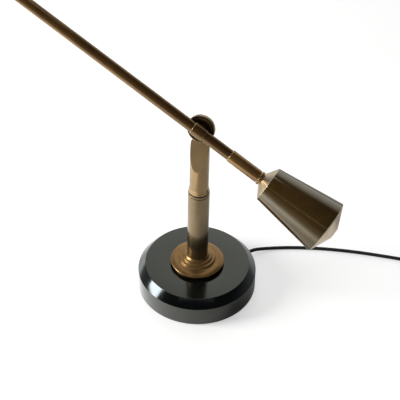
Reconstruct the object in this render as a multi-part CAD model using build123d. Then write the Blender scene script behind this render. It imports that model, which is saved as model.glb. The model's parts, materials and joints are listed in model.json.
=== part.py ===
# Desk lamp with a counterweighted arm. Millimetres, +Z up, origin at the middle of the underside.
# The tilt axis of the arm lies in the YZ plane and faces -Y; the counterweight is on the +X side.
from build123d import *
import os
from math import asin, cos, degrees, hypot, pi, radians, sin, sqrt, tan

os.makedirs("parts", exist_ok=True)

# ---- clearances ----
thread_clearance = 0.05       # radial, a screw or nipple in its hole
seat_clearance = 0.05         # radial, a piece seated in its bore
running_clearance = 0.05      # radial and face to face, pieces that turn on each other
screw_hole_clearance = 0.3    # radial, a screw that passes through a plate
recess_clearance = 0.3        # radial, a plate or pad in its recess
overcut = 1.0                 # how far a hole's cutting solid passes the face

# ---- base ----
base_radius = 80.0
base_height = 40.0
base_chamfer_width = 9.7
base_chamfer_height = 11.3
base_edge_round = 0.8
pad_thickness = 2.0
pad_recess_depth = 1.0
pad_margin = 4.0
plate_radius = 58.0
plate_thickness = 2.0
cavity_radius = 48.0
cavity_height = 20.0
plate_screw_count = 3
plate_screw_first_angle = 115.0
plate_screw_radius = 2.0
plate_screw_head_radius = 4.0
plate_screw_length = 12.0

# ---- rosette under the stem: a foot, a domed flange, two round rings and a short cone ----
rosette_foot_radius = 33.0
rosette_foot_height = 3.8
rosette_radius = 36.0
rosette_edge_height = 2.0
rosette_under_round = 0.6
rosette_edge_round = 0.8
rosette_dome_height = 2.5
rosette_dome_inset = 5.0      # corner of the dome's outline, in from the edge
rosette_dome_drop = 0.3       # the same corner, below the dome's top
rosette_dome_round = 16.0
ring_one_radius = 24.4
ring_one_height = 3.0
ring_one_round = 2.6
ring_two_radius = 20.0
ring_two_height = 3.1
ring_two_round = 2.2
rosette_cone_radius = 17.2
rosette_cone_height = 2.6
rosette_cone_margin = 0.5     # the cone's top beyond the stem
rosette_cone_round = 1.2

# ---- stem ----
nipple_radius = 5.0
nipple_bore_radius = 3.5
stem_nut_height = 6.0
stem_nut_flat = 8.5
stem_washer_thickness = 2.0
stem_washer_radius = 14.0
nipple_tail = 2.0             # nipple's end below the nut
stem_radius = 14.2
stem_wall = 2.5
lower_stem_length = 108.0
foot_plug_height = 20.0
collar_height = 4.45
collar_groove_height = 0.8
collar_groove_depth = 1.0
collar_edge_round = 0.3
bush_length = 30.0
spigot_radius = 9.0
spigot_tail = 7.0
spigot_bore_radius = 4.0
swivel_washer_thickness = 1.3
swivel_washer_margin = 0.25
retaining_ring_thickness = 1.2
retaining_groove_depth = 0.9
retaining_ring_wall = 2.6
retaining_ring_gap = 30.0
stop_pin_radius = 1.5
stop_groove_depth = 2.2
stop_web_clearance = 1.0      # degrees between the pin and the groove's web at the limit
swivel_limit = 160.0          # degrees each way
upper_stem_radius = 12.5
flange_inset = 0.4
flange_height = 0.9
flange_edge_round = 0.5
flange_slope_height = 6.0
flange_slope_round = 8.0
joint_rise = 108.5            # joint centre above the top of the lower stem
shoulder_drop = 21.5          # stem's shoulder below the joint centre
shoulder_round = 2.2

# ---- friction joint ----
joint_lean = 18.5             # degrees between the tilt axis and the horizontal
disc_radius = 18.2
disc_thickness = 5.0
disc_bevel = 0.9
disc_back_round = 0.4
disc_groove_radius = 14.6
disc_groove_width = 0.8
disc_groove_depth = 0.5
joint_washer_thickness = 1.2
joint_washer_margin = 2.0
boss_height = 2.0
tongue_inset = 1.5
tongue_thickness = 7.0
pivot_radius = 5.0
pivot_bore_radius = 2.6
pivot_washer_radius = 8.5
pivot_washer_thickness = 1.2
pivot_spring_height = 2.0
pivot_spring_gap = 2.0
pivot_spring_inset = 0.5
pivot_spring_slant = 20.0     # degrees
pivot_nut_height = 5.0
pivot_nut_flat = 8.0
pivot_tail = 1.5
arm_offset = 9.0              # axis of the arm in front of the disc's face

# ---- arm ----
arm_angle = -26.9             # degrees in the tilt plane, from +X towards the counterweight
arm_radius = 7.1
arm_wall = 1.2
arm_front_length = 600.0
arm_rear_length = 75.0
saddle_wall = 1.15
saddle_front = 8.5
saddle_back = 9.5
saddle_foot_radius = 7.2
saddle_edge_round = 0.5
sleeve_start = 49.6
sleeve_length = 44.4
sleeve_wall = 1.1
sleeve_edge_round = 0.6
neck_ring_radius = 8.9
neck_ring_length = 4.5
neck_ring_round = 0.5
neck_hub_radius = 7.0
neck_hub_length = 0.7
lead_hole_radius = 2.6

# ---- counterweight ----
stud_radius = 4.0
stud_front = 13.0             # stud's length inside the sleeve, ahead of its solid end
weight_nose_radius = 8.7
weight_nose_length = 9.5
weight_nose_round = 0.4
weight_front_radius = 23.6
weight_back_radius = 36.2
weight_length = 90.3
weight_wall = 3.0
weight_face_wall = 3.5
weight_edge_round = 0.7
core_gap = 0.3
weight_cap_length = 12.5
weight_cap_tip_radius = 8.4
weight_cap_spigot = 6.0
weight_cap_round = 0.6
cap_screw_radius = 2.5
cap_screw_length = 24.0
cap_screw_room = 1.0          # under the screw's tip
cap_screw_head_radius = 4.2
cap_screw_head_height = 1.6
cap_screw_slot_width = 1.0
cap_screw_slot_depth = 0.8

# ---- knuckle at the far end of the arm ----
knuckle_radius = 11.0
knuckle_thickness = 10.0
knuckle_reach = 20.0          # from the end of the tube to the knuckle's pin
knuckle_plug_length = 25.0
knuckle_neck_radius = 4.8
knuckle_round = 0.8
knuckle_washer_thickness = 1.0
knuckle_washer_inset = 1.0
knuckle_screw_radius = 3.0
knuckle_head_radius = 7.5
knuckle_head_height = 3.0
knuckle_head_round = 0.8
knuckle_screw_tail = 1.0      # past the nut
knuckle_slot_width = 1.4
knuckle_slot_depth = 1.2
knuckle_nut_height = 5.0
knuckle_nut_flat = 5.0

# ---- shade, measured down its own axis from the knuckle's pin ----
shade_neck_length = 30.0
shade_neck_radius = 5.0
shade_collar_radius = 9.0
shade_collar_length = 8.0
shade_collar_round = 1.0
shade_socket_depth = 7.0
cap_nose_length = 9.0
cap_radius = 24.0
cap_barrel_length = 26.0
cap_wall = 2.0
cap_round = 1.0
cap_seat_thickness = 3.3      # where the nipple's nut clamps the cap
cap_seat_margin = 1.2         # the seat beyond the nut's corners
shell_length = 100.0
shell_top_radius = 24.5
shell_bottom_radius = 60.0
shell_wall = 1.2
shell_top_round = 0.8
shell_lip_radius = 1.0
nipple_nut_height = 4.0
nipple_nut_flat = 8.0
shade_nipple_gap = 2.0        # nipple's end above the lampholder's socket
lampholder_radius = 13.9
lampholder_length = 46.0
lampholder_top_round = 1.5
lampholder_rim_round = 0.6
lampholder_rise = 5.0         # lampholder's top above the shell's top
lampholder_shoulder_radius = 16.5
lampholder_shoulder_height = 3.4
lampholder_socket_depth = 28.0
lampholder_ring_radius = 18.0
lampholder_ring_height = 6.0
bulb_cap_radius = 6.95
bulb_cap_length = 26.0
bulb_cap_tip_radius = 2.8
bulb_cap_tip_height = 3.0
bulb_cap_standout = 1.0       # the cap's edge below the lampholder's rim
bulb_thread_clearance = 0.3
bulb_radius = 22.5
bulb_neck_radius = 8.0
bulb_ball_drop = 28.0         # ball's middle below the lampholder's rim
bulb_wall = 0.9
bulb_cone_angle = 44.4        # degrees above the ball's middle, where the cone touches it

# ---- push switch in the side of the shade's cap ----
switch_radius = 7.0
switch_depth = 9.0            # switch's back end from the shade's axis
switch_gap = 0.3
switch_neck_radius = 4.9
switch_neck_end = 26.0
switch_flat = 23.2
switch_flat_margin = 0.4
switch_ring_radius = 6.1
switch_ring_height = 2.0
button_radius = 3.8
button_standout = 3.5
button_travel = 2.5
button_room = 0.6
button_length = 13.5
button_edge_round = 0.6

# ---- cord and what is on it ----
cord_radius = 2.5
cord_exit_angle = 54.0        # degrees about +Z, from +X
cord_exit_height = 7.0
cord_passage_clearance = 0.4  # radial, the cord in the base's wall
gland_body_radius = 4.2
gland_flange_radius = 6.0
gland_flange_thickness = 2.0
gland_taper_radius = 4.8
gland_tip_radius = 3.4
gland_length = 9.0            # outside the base
gland_flange_round = 0.6
gland_tip_round = 0.3
gland_ledge = 3.5             # from the plate's recess to the gland's inner end
inner_cord_start = 27.0
lead_radius = 1.6
lead_bend = 6.0
lead_top_gap = 60.0           # end of the stem's lead below the joint centre
lead_end_gap = 5.0
lead_tail = 6.0               # arm's lead past the pivot
block_length = 12.0
block_width = 22.0
block_height = 9.0
block_chamfer = 1.0
clamp_radius = 35.0
clamp_length = 7.0
clamp_width = 18.0
clamp_wall = 2.0
coil_lead = 5.0
coil_turn_step = 2.75         # change of radius in each half turn
coil_inner_radius = 26.0
coil_layer_step = 5.5
coil_layers = 4
tie_width = 6.0
tie_thickness = 0.8
tie_gap = 0.3
tie_side_gap = 0.6
tie_round = 2.0
plug_length = 38.0
plug_width = 34.0
plug_nose_width = 26.0
plug_thickness = 13.6
plug_round = 2.5
plug_back_width = 11.7
plug_back_round = 3.0
plug_shoulder_length = 9.0
plug_shoulder_round = 6.0
plug_nose_round = 1.5
plug_collar_length = 6.0
plug_collar_radius = 4.6
plug_collar_overlap = 2.0     # inside the body
plug_pin_radius = 2.0
plug_pin_length = 19.0
plug_pin_depth = 8.0
plug_pin_spacing = 18.6

# ---- heights and places that follow ----
base_bottom = pad_thickness - pad_recess_depth
plate_top = pad_thickness + plate_thickness
cavity_top = plate_top + cavity_height
pad_radius = base_radius - pad_margin
plate_screw_circle = (plate_radius + cavity_radius) / 2
dome_bottom = base_height + rosette_foot_height + rosette_edge_height
dome_top = dome_bottom + rosette_dome_height
ring_one_top = dome_top + ring_one_height
ring_two_top = ring_one_top + ring_two_height
stem_foot = ring_two_top + rosette_cone_height
lower_stem_top = stem_foot + lower_stem_length
collar_top = lower_stem_top + collar_height
flange_bottom = collar_top + swivel_washer_thickness + 2 * running_clearance
bush_bottom = lower_stem_top - bush_length
stem_bore = stem_radius - stem_wall
bush_bore = spigot_radius + running_clearance
collar_radius = stem_radius
spigot_bottom = bush_bottom - spigot_tail
joint_height = lower_stem_top + joint_rise
shoulder_height = joint_height - shoulder_drop
nipple_hole = nipple_radius + thread_clearance
nipple_bottom = cavity_top - stem_washer_thickness - stem_nut_height - nipple_tail
nipple_top = stem_foot + foot_plug_height

# Depths behind the disc's front face, along the tilt axis
washer_front = disc_thickness + running_clearance
boss_front = washer_front + joint_washer_thickness + running_clearance
flat_depth = boss_front + boss_height
tongue_back = flat_depth + tongue_thickness
pivot_washer_front = tongue_back + running_clearance
pivot_spring_front = pivot_washer_front + pivot_washer_thickness
pivot_nut_front = pivot_spring_front + pivot_spring_height
pivot_end = pivot_nut_front + pivot_nut_height + pivot_tail
tongue_half_width = upper_stem_radius - tongue_inset
saddle_radius = arm_radius + seat_clearance + saddle_wall

# Distances along the arm from the pivot
sleeve_end = sleeve_start + sleeve_length
neck_end = sleeve_end + neck_ring_length + neck_hub_length
weight_body_start = neck_end + weight_nose_length
weight_end = weight_body_start + weight_length
sleeve_radius = arm_radius + seat_clearance + sleeve_wall
arm_bore = arm_radius - arm_wall
knuckle_distance = arm_front_length + knuckle_reach
shade_plane_offset = knuckle_thickness + knuckle_washer_thickness + 2 * running_clearance

# Distances down the shade's axis from the knuckle's pin
cap_top = shade_neck_length + shade_collar_length
cap_ceiling = cap_top + cap_seat_thickness
cap_shoulder = cap_top + cap_nose_length
shell_top = cap_shoulder + cap_barrel_length
shell_bottom = shell_top + shell_length
lampholder_top = shell_top - lampholder_rise
lampholder_bottom = lampholder_top + lampholder_length
lampholder_socket = lampholder_bottom - lampholder_socket_depth
shell_hole = lampholder_radius + running_clearance
shade_nipple_top = cap_top - shade_socket_depth
bulb_neck_top = lampholder_bottom + bulb_cap_standout
bulb_ball_middle = lampholder_bottom + bulb_ball_drop
switch_middle = (cap_shoulder + shell_top) / 2
gland_start = plate_radius + recess_clearance + gland_ledge

# ---- frames ----
lean = radians(joint_lean)
in_plane = radians(arm_angle)
side_axis = Vector(1, 0, 0)
tilt_axis = Vector(0, -cos(lean), sin(lean))
rise_axis = Vector(0, sin(lean), cos(lean))
arm_axis = side_axis * cos(in_plane) + rise_axis * sin(in_plane)
joint_centre = Vector(0, 0, joint_height)
arm_centre = joint_centre + tilt_axis * arm_offset
knuckle_centre = arm_centre - arm_axis * knuckle_distance
shade_centre = knuckle_centre - tilt_axis * shade_plane_offset

joint_frame = Plane(origin=joint_centre, x_dir=side_axis, z_dir=tilt_axis)
arm_frame = Plane(origin=arm_centre, x_dir=tilt_axis, z_dir=arm_axis)
knuckle_frame = Plane(origin=knuckle_centre, x_dir=arm_axis, z_dir=tilt_axis)
shade_knuckle_frame = Plane(origin=shade_centre, x_dir=side_axis, z_dir=tilt_axis)
shade_frame = Plane(origin=shade_centre, x_dir=side_axis, z_dir=rise_axis * -1)
exit_axis = Vector(cos(radians(cord_exit_angle)), sin(radians(cord_exit_angle)), 0)
exit_frame = Plane(origin=(0, 0, cord_exit_height), x_dir=(0, 0, 1), z_dir=exit_axis)


# ---- shared shapes ----
def on(frame, shape):
    return frame.location * shape


# Solid of revolution about Z. Each corner is (radius, height) or (radius, height, rounding).
def turned(*corners):
    points = [(corner[0], 0, corner[1]) for corner in corners]
    rounds = [corner[2] if len(corner) > 2 else 0 for corner in corners]
    if any(rounds):
        outline = FilletPolyline(*points, radius=rounds, close=True)
    else:
        outline = Polyline(*points, close=True)
    return revolve(make_face(outline), axis=Axis.Z)


def rod(radius, start, end):
    return Pos(0, 0, start) * Cylinder(radius, end - start, align=(Align.CENTER, Align.CENTER, Align.MIN))


def pipe(outer, inner, start, end):
    return turned((inner, start), (outer, start), (outer, end), (inner, end))


def hexagonNut(flat, hole, start, end):
    prism = extrude(RegularPolygon(flat, 6, major_radius=False), end - start)
    return Pos(0, 0, start) * prism - rod(hole, start, end)


def centredBox(length, width, height, base=0.0):
    return Pos(0, 0, base) * Box(length, width, height, align=(Align.CENTER, Align.CENTER, Align.MIN))


# Disc about local Z with both rims rounded
def knuckleDisc(hole):
    half = knuckle_thickness / 2
    return turned((hole, -half), (knuckle_radius, -half, knuckle_round),
                  (knuckle_radius, half, knuckle_round), (hole, half))


def aroundPlate(shape):
    step = 360 / plate_screw_count
    places = [plate_screw_first_angle + step * number for number in range(plate_screw_count)]
    return [Rot(0, 0, angle) * Pos(plate_screw_circle, 0, 0) * shape for angle in places]


def save(name, shape):
    export_step(shape, f"parts/{name}.step")


# ---- base ----
def countersink(clearance):
    head = plate_screw_head_radius + clearance
    shank = plate_screw_radius + clearance
    cone_end = pad_thickness + head - shank
    cone = turned((0, pad_thickness), (head, pad_thickness), (shank, cone_end), (0, cone_end))
    return cone + rod(shank, pad_thickness, plate_top + overcut)


def makeBaseBody():
    plate_recess = plate_radius + recess_clearance
    pad_recess = pad_radius + recess_clearance
    body = turned(
        (pad_recess, base_bottom),
        (base_radius, base_bottom, base_edge_round),
        (base_radius, base_height - base_chamfer_height, base_edge_round),
        (base_radius - base_chamfer_width, base_height, base_edge_round),
        (nipple_hole, base_height),
        (nipple_hole, cavity_top),
        (cavity_radius, cavity_top),
        (cavity_radius, plate_top),
        (plate_recess, plate_top),
        (plate_recess, pad_thickness),
        (pad_recess, pad_thickness),
    )
    passage = rod(cord_radius + cord_passage_clearance, cavity_radius / 2, base_radius)
    gland_hole = rod(gland_body_radius + seat_clearance, gland_start, base_radius + gland_length)
    body -= on(exit_frame, passage + gland_hole)
    tapped_end = pad_thickness + plate_screw_length + overcut
    tapped = rod(plate_screw_radius + thread_clearance, plate_top, tapped_end)
    for hole in aroundPlate(tapped):
        body -= hole
    return body


def makeBasePlate():
    plate = rod(plate_radius, pad_thickness, plate_top)
    for hole in aroundPlate(countersink(screw_hole_clearance)):
        plate -= hole
    return plate


def makePlateScrew():
    head = plate_screw_head_radius
    shank = plate_screw_radius
    tip = pad_thickness + plate_screw_length
    return turned((0, pad_thickness), (head, pad_thickness), (shank, pad_thickness + head - shank),
                  (shank, tip), (0, tip))


def makeRosette():
    foot_top = base_height + rosette_foot_height
    return turned(
        (nipple_hole, base_height),
        (rosette_foot_radius, base_height),
        (rosette_foot_radius, foot_top),
        (rosette_radius, foot_top, rosette_under_round),
        (rosette_radius, dome_bottom, rosette_edge_round),
        (rosette_radius - rosette_dome_inset, dome_top - rosette_dome_drop, rosette_dome_round),
        (ring_one_radius, dome_top),
        (ring_one_radius, ring_one_top, ring_one_round),
        (ring_two_radius, ring_one_top),
        (ring_two_radius, ring_two_top, ring_two_round),
        (rosette_cone_radius, ring_two_top, rosette_cone_round),
        (stem_radius + rosette_cone_margin, stem_foot),
        (nipple_hole, stem_foot),
    )


def makeBase():
    save("base_body", makeBaseBody())
    save("base_plate", makeBasePlate())
    save("base_plate_screws", Compound(aroundPlate(makePlateScrew())))
    save("base_pad", rod(pad_radius, 0, pad_thickness))
    save("base_rosette", makeRosette())


# ---- stem ----
def makeStemFixings():
    washer_bottom = cavity_top - stem_washer_thickness
    nut_bottom = washer_bottom - stem_nut_height
    save("stem_nipple", pipe(nipple_radius, nipple_bore_radius, nipple_bottom, nipple_top))
    save("stem_washer", pipe(stem_washer_radius, nipple_hole, washer_bottom, cavity_top))
    save("stem_nut", hexagonNut(stem_nut_flat, nipple_hole, nut_bottom, washer_bottom))
    save("stem_foot_plug", pipe(stem_bore - seat_clearance, nipple_hole, stem_foot, nipple_top))
    save("lower_stem", pipe(stem_radius, stem_bore, stem_foot, lower_stem_top))


# The stop pin stands in the bush and runs in a groove of the spigot, which a web interrupts.
def makeSwivel():
    stop_height = (bush_bottom + lower_stem_top) / 2
    bush = pipe(stem_bore - seat_clearance, bush_bore, bush_bottom, collar_top)
    pin_frame = Plane(origin=(0, 0, stop_height), x_dir=(1, 0, 0), z_dir=(0, 1, 0))
    pin_hole = rod(stop_pin_radius + thread_clearance, 0, stem_radius)
    bush -= on(pin_frame, pin_hole)
    pin_start = spigot_radius - stop_groove_depth + 4 * running_clearance
    pin = rod(stop_pin_radius, pin_start, stem_bore - seat_clearance * 2)
    neck = collar_radius - collar_groove_depth
    collar = turned(
        (stem_bore, lower_stem_top),
        (neck, lower_stem_top),
        (neck, lower_stem_top + collar_groove_height),
        (collar_radius, lower_stem_top + collar_groove_height),
        (collar_radius, collar_top, collar_edge_round),
        (stem_bore, collar_top),
    )
    washer_bottom = collar_top + running_clearance
    washer_top = washer_bottom + swivel_washer_thickness
    washer_radius = collar_radius - swivel_washer_margin
    save("swivel_bush", bush)
    save("swivel_stop_pin", on(pin_frame, pin))
    save("collar_ring", collar)
    save("swivel_washer", pipe(washer_radius, bush_bore, washer_bottom, washer_top))


def makeRetainingRing():
    top = bush_bottom - running_clearance
    inner = spigot_radius - retaining_groove_depth + seat_clearance
    ring = pipe(inner, inner + retaining_ring_wall, top - retaining_ring_thickness, top)
    gap = 2 * spigot_radius * sin(radians(retaining_ring_gap / 2))
    opening = Pos(0, -spigot_radius, top) * Box(gap, 2 * spigot_radius, 4 * retaining_ring_thickness)
    return ring - opening


# Groove for the stop pin: a ring cut that leaves a web on the side away from the pin
def makeStopGroove():
    stop_height = (bush_bottom + lower_stem_top) / 2
    floor = spigot_radius - stop_groove_depth
    half_height = stop_pin_radius + 2 * running_clearance
    groove = pipe(spigot_radius + overcut, floor, stop_height - half_height, stop_height + half_height)
    pin_half_angle = degrees(asin(stop_pin_radius / floor))
    web_half_angle = 180 - swivel_limit - pin_half_angle - stop_web_clearance
    reach = 2 * spigot_radius
    side = reach * tan(radians(web_half_angle))
    wedge = extrude(Plane.XY.offset(stop_height - 2 * half_height)
                    * make_face(Polyline((0, 0), (-side, -reach), (side, -reach), close=True)),
                    4 * half_height)
    return groove - wedge


# The stem's top is cut to a round-ended tongue, square to the tilt axis, with a boss on its front.
def makeUpperStem():
    flange_radius = collar_radius - flange_inset
    flange_top = flange_bottom + flange_height
    slope_top = flange_top + flange_slope_height
    column = turned(
        (0, spigot_bottom),
        (spigot_radius, spigot_bottom),
        (spigot_radius, flange_bottom),
        (flange_radius, flange_bottom),
        (flange_radius, flange_top, flange_edge_round),
        (upper_stem_radius, slope_top, flange_slope_round),
        (upper_stem_radius, shoulder_height, shoulder_round),
        (0, shoulder_height),
    )
    reach = 4 * upper_stem_radius + shoulder_drop
    front = Pos(0, 0, reach / 2 - flat_depth) * Box(2 * reach, 4 * reach, reach)
    column -= on(joint_frame, front)
    tongue_drop = shoulder_drop + upper_stem_radius
    tongue = Pos(0, 0, -tongue_back) * (
        rod(tongue_half_width, 0, tongue_thickness)
        + Pos(0, -tongue_drop / 2, 0) * centredBox(2 * tongue_half_width, tongue_drop, tongue_thickness))
    boss = rod(tongue_half_width, -flat_depth, -boss_front)
    pivot_hole = rod(pivot_radius + running_clearance, -pivot_end, 0)
    head = on(joint_frame, tongue)
    stem = column + head + on(joint_frame, boss)
    stem -= on(joint_frame, pivot_hole)
    stem -= rod(spigot_bore_radius, spigot_bottom, joint_height - lead_top_gap + lead_end_gap)
    stem -= makeStopGroove()
    groove_top = bush_bottom - running_clearance / 2
    groove_bottom = groove_top - retaining_ring_thickness - running_clearance
    stem -= pipe(spigot_radius + overcut, spigot_radius - retaining_groove_depth, groove_bottom, groove_top)
    return stem


def makeUpperBody():
    save("upper_stem", makeUpperStem())
    save("spigot_retaining_ring", makeRetainingRing())
    washer = pipe(tongue_half_width + joint_washer_margin, pivot_radius + seat_clearance,
                  -washer_front - joint_washer_thickness, -washer_front)
    save("joint_washer", on(joint_frame, washer))


# ---- joint pieces that turn with the arm ----
def makeJointDisc():
    groove_inner = disc_groove_radius - disc_groove_width / 2
    groove_outer = disc_groove_radius + disc_groove_width / 2
    return turned(
        (pivot_radius + seat_clearance, -disc_thickness),
        (disc_radius, -disc_thickness, disc_back_round),
        (disc_radius, -disc_bevel),
        (disc_radius - disc_bevel, 0),
        (groove_outer, 0),
        (groove_outer, -disc_groove_depth),
        (groove_inner, -disc_groove_depth),
        (groove_inner, 0),
        (pivot_radius + seat_clearance, 0),
    )


# A barrel round the arm on a short round foot that stands on the disc
def makeSaddle():
    foot = on(joint_frame, rod(saddle_foot_radius, 0, arm_offset))
    barrel = turned(
        (0, -saddle_front),
        (saddle_radius, -saddle_front, saddle_edge_round),
        (saddle_radius, saddle_back, saddle_edge_round),
        (0, saddle_back),
    )
    bore = rod(arm_radius + seat_clearance, -2 * saddle_front, 2 * saddle_back)
    saddle = foot + on(arm_frame, barrel)
    saddle -= on(arm_frame, bore)
    saddle -= on(joint_frame, rod(lead_hole_radius, 0, arm_offset))
    return saddle


def makePivot():
    stud = pipe(pivot_radius, pivot_bore_radius, -pivot_end, 0)
    washer = pipe(pivot_washer_radius, pivot_radius + seat_clearance,
                  -pivot_spring_front, -pivot_washer_front)
    spring = pipe(pivot_washer_radius - pivot_spring_inset, pivot_radius + seat_clearance,
                  -pivot_nut_front, -pivot_spring_front)
    spring -= Pos(0, -pivot_washer_radius / 2, -pivot_nut_front) * Rot(0, pivot_spring_slant, 0) * Box(
        pivot_spring_gap, pivot_washer_radius, 4 * pivot_spring_height)
    nut = hexagonNut(pivot_nut_flat, pivot_radius + thread_clearance,
                     -pivot_nut_front - pivot_nut_height, -pivot_nut_front)
    save("pivot_stud", on(joint_frame, stud))
    save("pivot_washer", on(joint_frame, washer))
    save("pivot_spring_washer", on(joint_frame, spring))
    save("pivot_nut", on(joint_frame, nut))


# ---- arm ----
def makeArmTube():
    tube = on(arm_frame, pipe(arm_radius, arm_bore, -arm_front_length, arm_rear_length))
    return tube - on(joint_frame, rod(lead_hole_radius, 0, arm_offset))


def makeArmSleeve():
    bore = arm_radius + seat_clearance
    web_start = arm_rear_length + seat_clearance
    stud_hole = stud_radius + thread_clearance
    return turned(
        (bore, sleeve_start),
        (sleeve_radius, sleeve_start, sleeve_edge_round),
        (sleeve_radius, sleeve_end, sleeve_edge_round),
        (stud_hole, sleeve_end),
        (stud_hole, web_start),
        (bore, web_start),
    )


def makeNeckRing():
    ring_end = sleeve_end + neck_ring_length
    ring_start = sleeve_end + neck_hub_length
    return turned(
        (stud_radius + thread_clearance, sleeve_end),
        (neck_hub_radius, sleeve_end),
        (neck_hub_radius, ring_start),
        (neck_ring_radius, ring_start, neck_ring_round),
        (neck_ring_radius, ring_end, neck_ring_round),
        (neck_hub_radius, ring_end),
        (neck_hub_radius, neck_end),
        (stud_radius + thread_clearance, neck_end),
    )


# Radius of the counterweight's side at a distance along the arm
def weightRadiusAt(distance):
    share = (distance - weight_body_start) / weight_length
    return weight_front_radius + share * (weight_back_radius - weight_front_radius)


def makeCounterweight():
    stud_hole = stud_radius + thread_clearance
    cavity_start = weight_body_start + weight_face_wall
    cap_seat = weight_end - weight_cap_spigot
    inner_start = weightRadiusAt(cavity_start) - weight_wall
    inner_end = weightRadiusAt(weight_end) - weight_wall
    inner_seat = weightRadiusAt(cap_seat) - weight_wall
    body = turned(
        (stud_hole, neck_end),
        (weight_nose_radius, neck_end, weight_nose_round),
        (weight_front_radius, weight_body_start, weight_edge_round),
        (weight_back_radius, weight_end, weight_edge_round),
        (inner_end, weight_end),
        (inner_start, cavity_start),
        (stud_hole, cavity_start),
    )
    core_start = cavity_start + core_gap
    core_end = cap_seat - core_gap
    core = turned(
        (stud_hole, core_start),
        (weightRadiusAt(core_start) - weight_wall - core_gap, core_start),
        (weightRadiusAt(core_end) - weight_wall - core_gap, core_end),
        (stud_hole, core_end),
    )
    screw_hole = cap_screw_radius + thread_clearance
    head_hole = cap_screw_head_radius + seat_clearance
    tip = weight_end + weight_cap_length
    cap = turned(
        (0, cap_seat),
        (inner_seat - core_gap, cap_seat),
        (inner_end - core_gap, weight_end),
        (weight_back_radius, weight_end, weight_cap_round),
        (weight_cap_tip_radius, tip, weight_cap_round),
        (0, tip),
    )
    screw_seat = tip - cap_screw_head_height
    cap -= rod(head_hole, screw_seat, tip + overcut)
    cap -= rod(screw_hole, cap_seat, tip)
    screw_tip = screw_seat - cap_screw_length
    screw = rod(cap_screw_radius, screw_tip, screw_seat) + rod(cap_screw_head_radius, screw_seat, tip)
    screw -= Pos(0, 0, tip) * Box(cap_screw_slot_width, 3 * cap_screw_head_radius, 2 * cap_screw_slot_depth)
    stud = rod(stud_radius, arm_rear_length - stud_front, core_end)
    stud -= rod(screw_hole, screw_tip - cap_screw_room, core_end)
    save("weight_stud", on(arm_frame, stud))
    save("counterweight_body", on(arm_frame, body))
    save("counterweight_core", on(arm_frame, core))
    save("counterweight_cap", on(arm_frame, cap))
    save("cap_screw", on(arm_frame, screw))


def makeArmKnuckle():
    hole = knuckle_screw_radius + running_clearance
    disc = on(knuckle_frame, knuckleDisc(hole))
    plug = rod(arm_bore - seat_clearance, -arm_front_length, -arm_front_length + knuckle_plug_length)
    neck = rod(knuckle_neck_radius, -knuckle_distance + hole, -arm_front_length)
    knuckle = on(arm_frame, neck + plug) + disc
    knuckle -= on(knuckle_frame, rod(hole, -knuckle_thickness, knuckle_thickness))
    lead_bore = rod(lead_hole_radius, -knuckle_distance, -arm_front_length + 2 * knuckle_plug_length)
    return knuckle - on(arm_frame, lead_bore)


def makeArm():
    save("joint_disc", on(joint_frame, makeJointDisc()))
    save("arm_saddle", makeSaddle())
    makePivot()
    save("arm_tube", makeArmTube())
    save("arm_sleeve", on(arm_frame, makeArmSleeve()))
    save("neck_ring", on(arm_frame, makeNeckRing()))
    makeCounterweight()
    save("arm_end_knuckle", makeArmKnuckle())
    half = knuckle_thickness / 2
    washer = pipe(knuckle_radius - knuckle_washer_inset, knuckle_screw_radius + running_clearance,
                  -half - running_clearance - knuckle_washer_thickness, -half - running_clearance)
    save("knuckle_washer", on(knuckle_frame, washer))
    # The lead lies on the lower wall of the tube.
    drop = arm_bore - lead_radius - seat_clearance
    lead_start = -arm_front_length + knuckle_plug_length + lead_end_gap
    lead = Pos(0, drop, 0) * rod(lead_radius, lead_start, lead_tail)
    save("arm_lead", on(arm_frame, lead))


# ---- shade ----
def makeShadeKnuckle():
    hole = knuckle_screw_radius + thread_clearance
    disc = on(shade_knuckle_frame, knuckleDisc(hole))
    neck = rod(shade_neck_radius, hole, shade_neck_length)
    collar = turned((0, shade_neck_length), (shade_collar_radius, shade_neck_length, shade_collar_round),
                    (shade_collar_radius, cap_top), (0, cap_top))
    knuckle = on(shade_frame, neck + collar) + disc
    knuckle -= on(shade_knuckle_frame, rod(hole, -knuckle_thickness, knuckle_thickness))
    knuckle -= on(shade_frame, rod(lead_hole_radius, 0, cap_top))
    return knuckle - on(shade_frame, rod(nipple_hole, shade_nipple_top, cap_top))


def makeKnuckleScrew():
    half = knuckle_thickness / 2
    head_seat = shade_plane_offset + half + running_clearance
    nut_seat = -half
    head_top = head_seat + knuckle_head_height
    screw = rod(knuckle_screw_radius, nut_seat - knuckle_nut_height - knuckle_screw_tail, head_seat)
    screw += turned((0, head_seat), (knuckle_head_radius, head_seat),
                    (knuckle_head_radius, head_top, knuckle_head_round), (0, head_top))
    screw -= Pos(0, 0, head_top) * Box(3 * knuckle_head_radius, knuckle_slot_width, 2 * knuckle_slot_depth)
    nut = hexagonNut(knuckle_nut_flat, knuckle_screw_radius + thread_clearance,
                     nut_seat - knuckle_nut_height, nut_seat)
    save("knuckle_screw", on(shade_knuckle_frame, screw))
    save("knuckle_nut", on(shade_knuckle_frame, nut))


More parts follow.
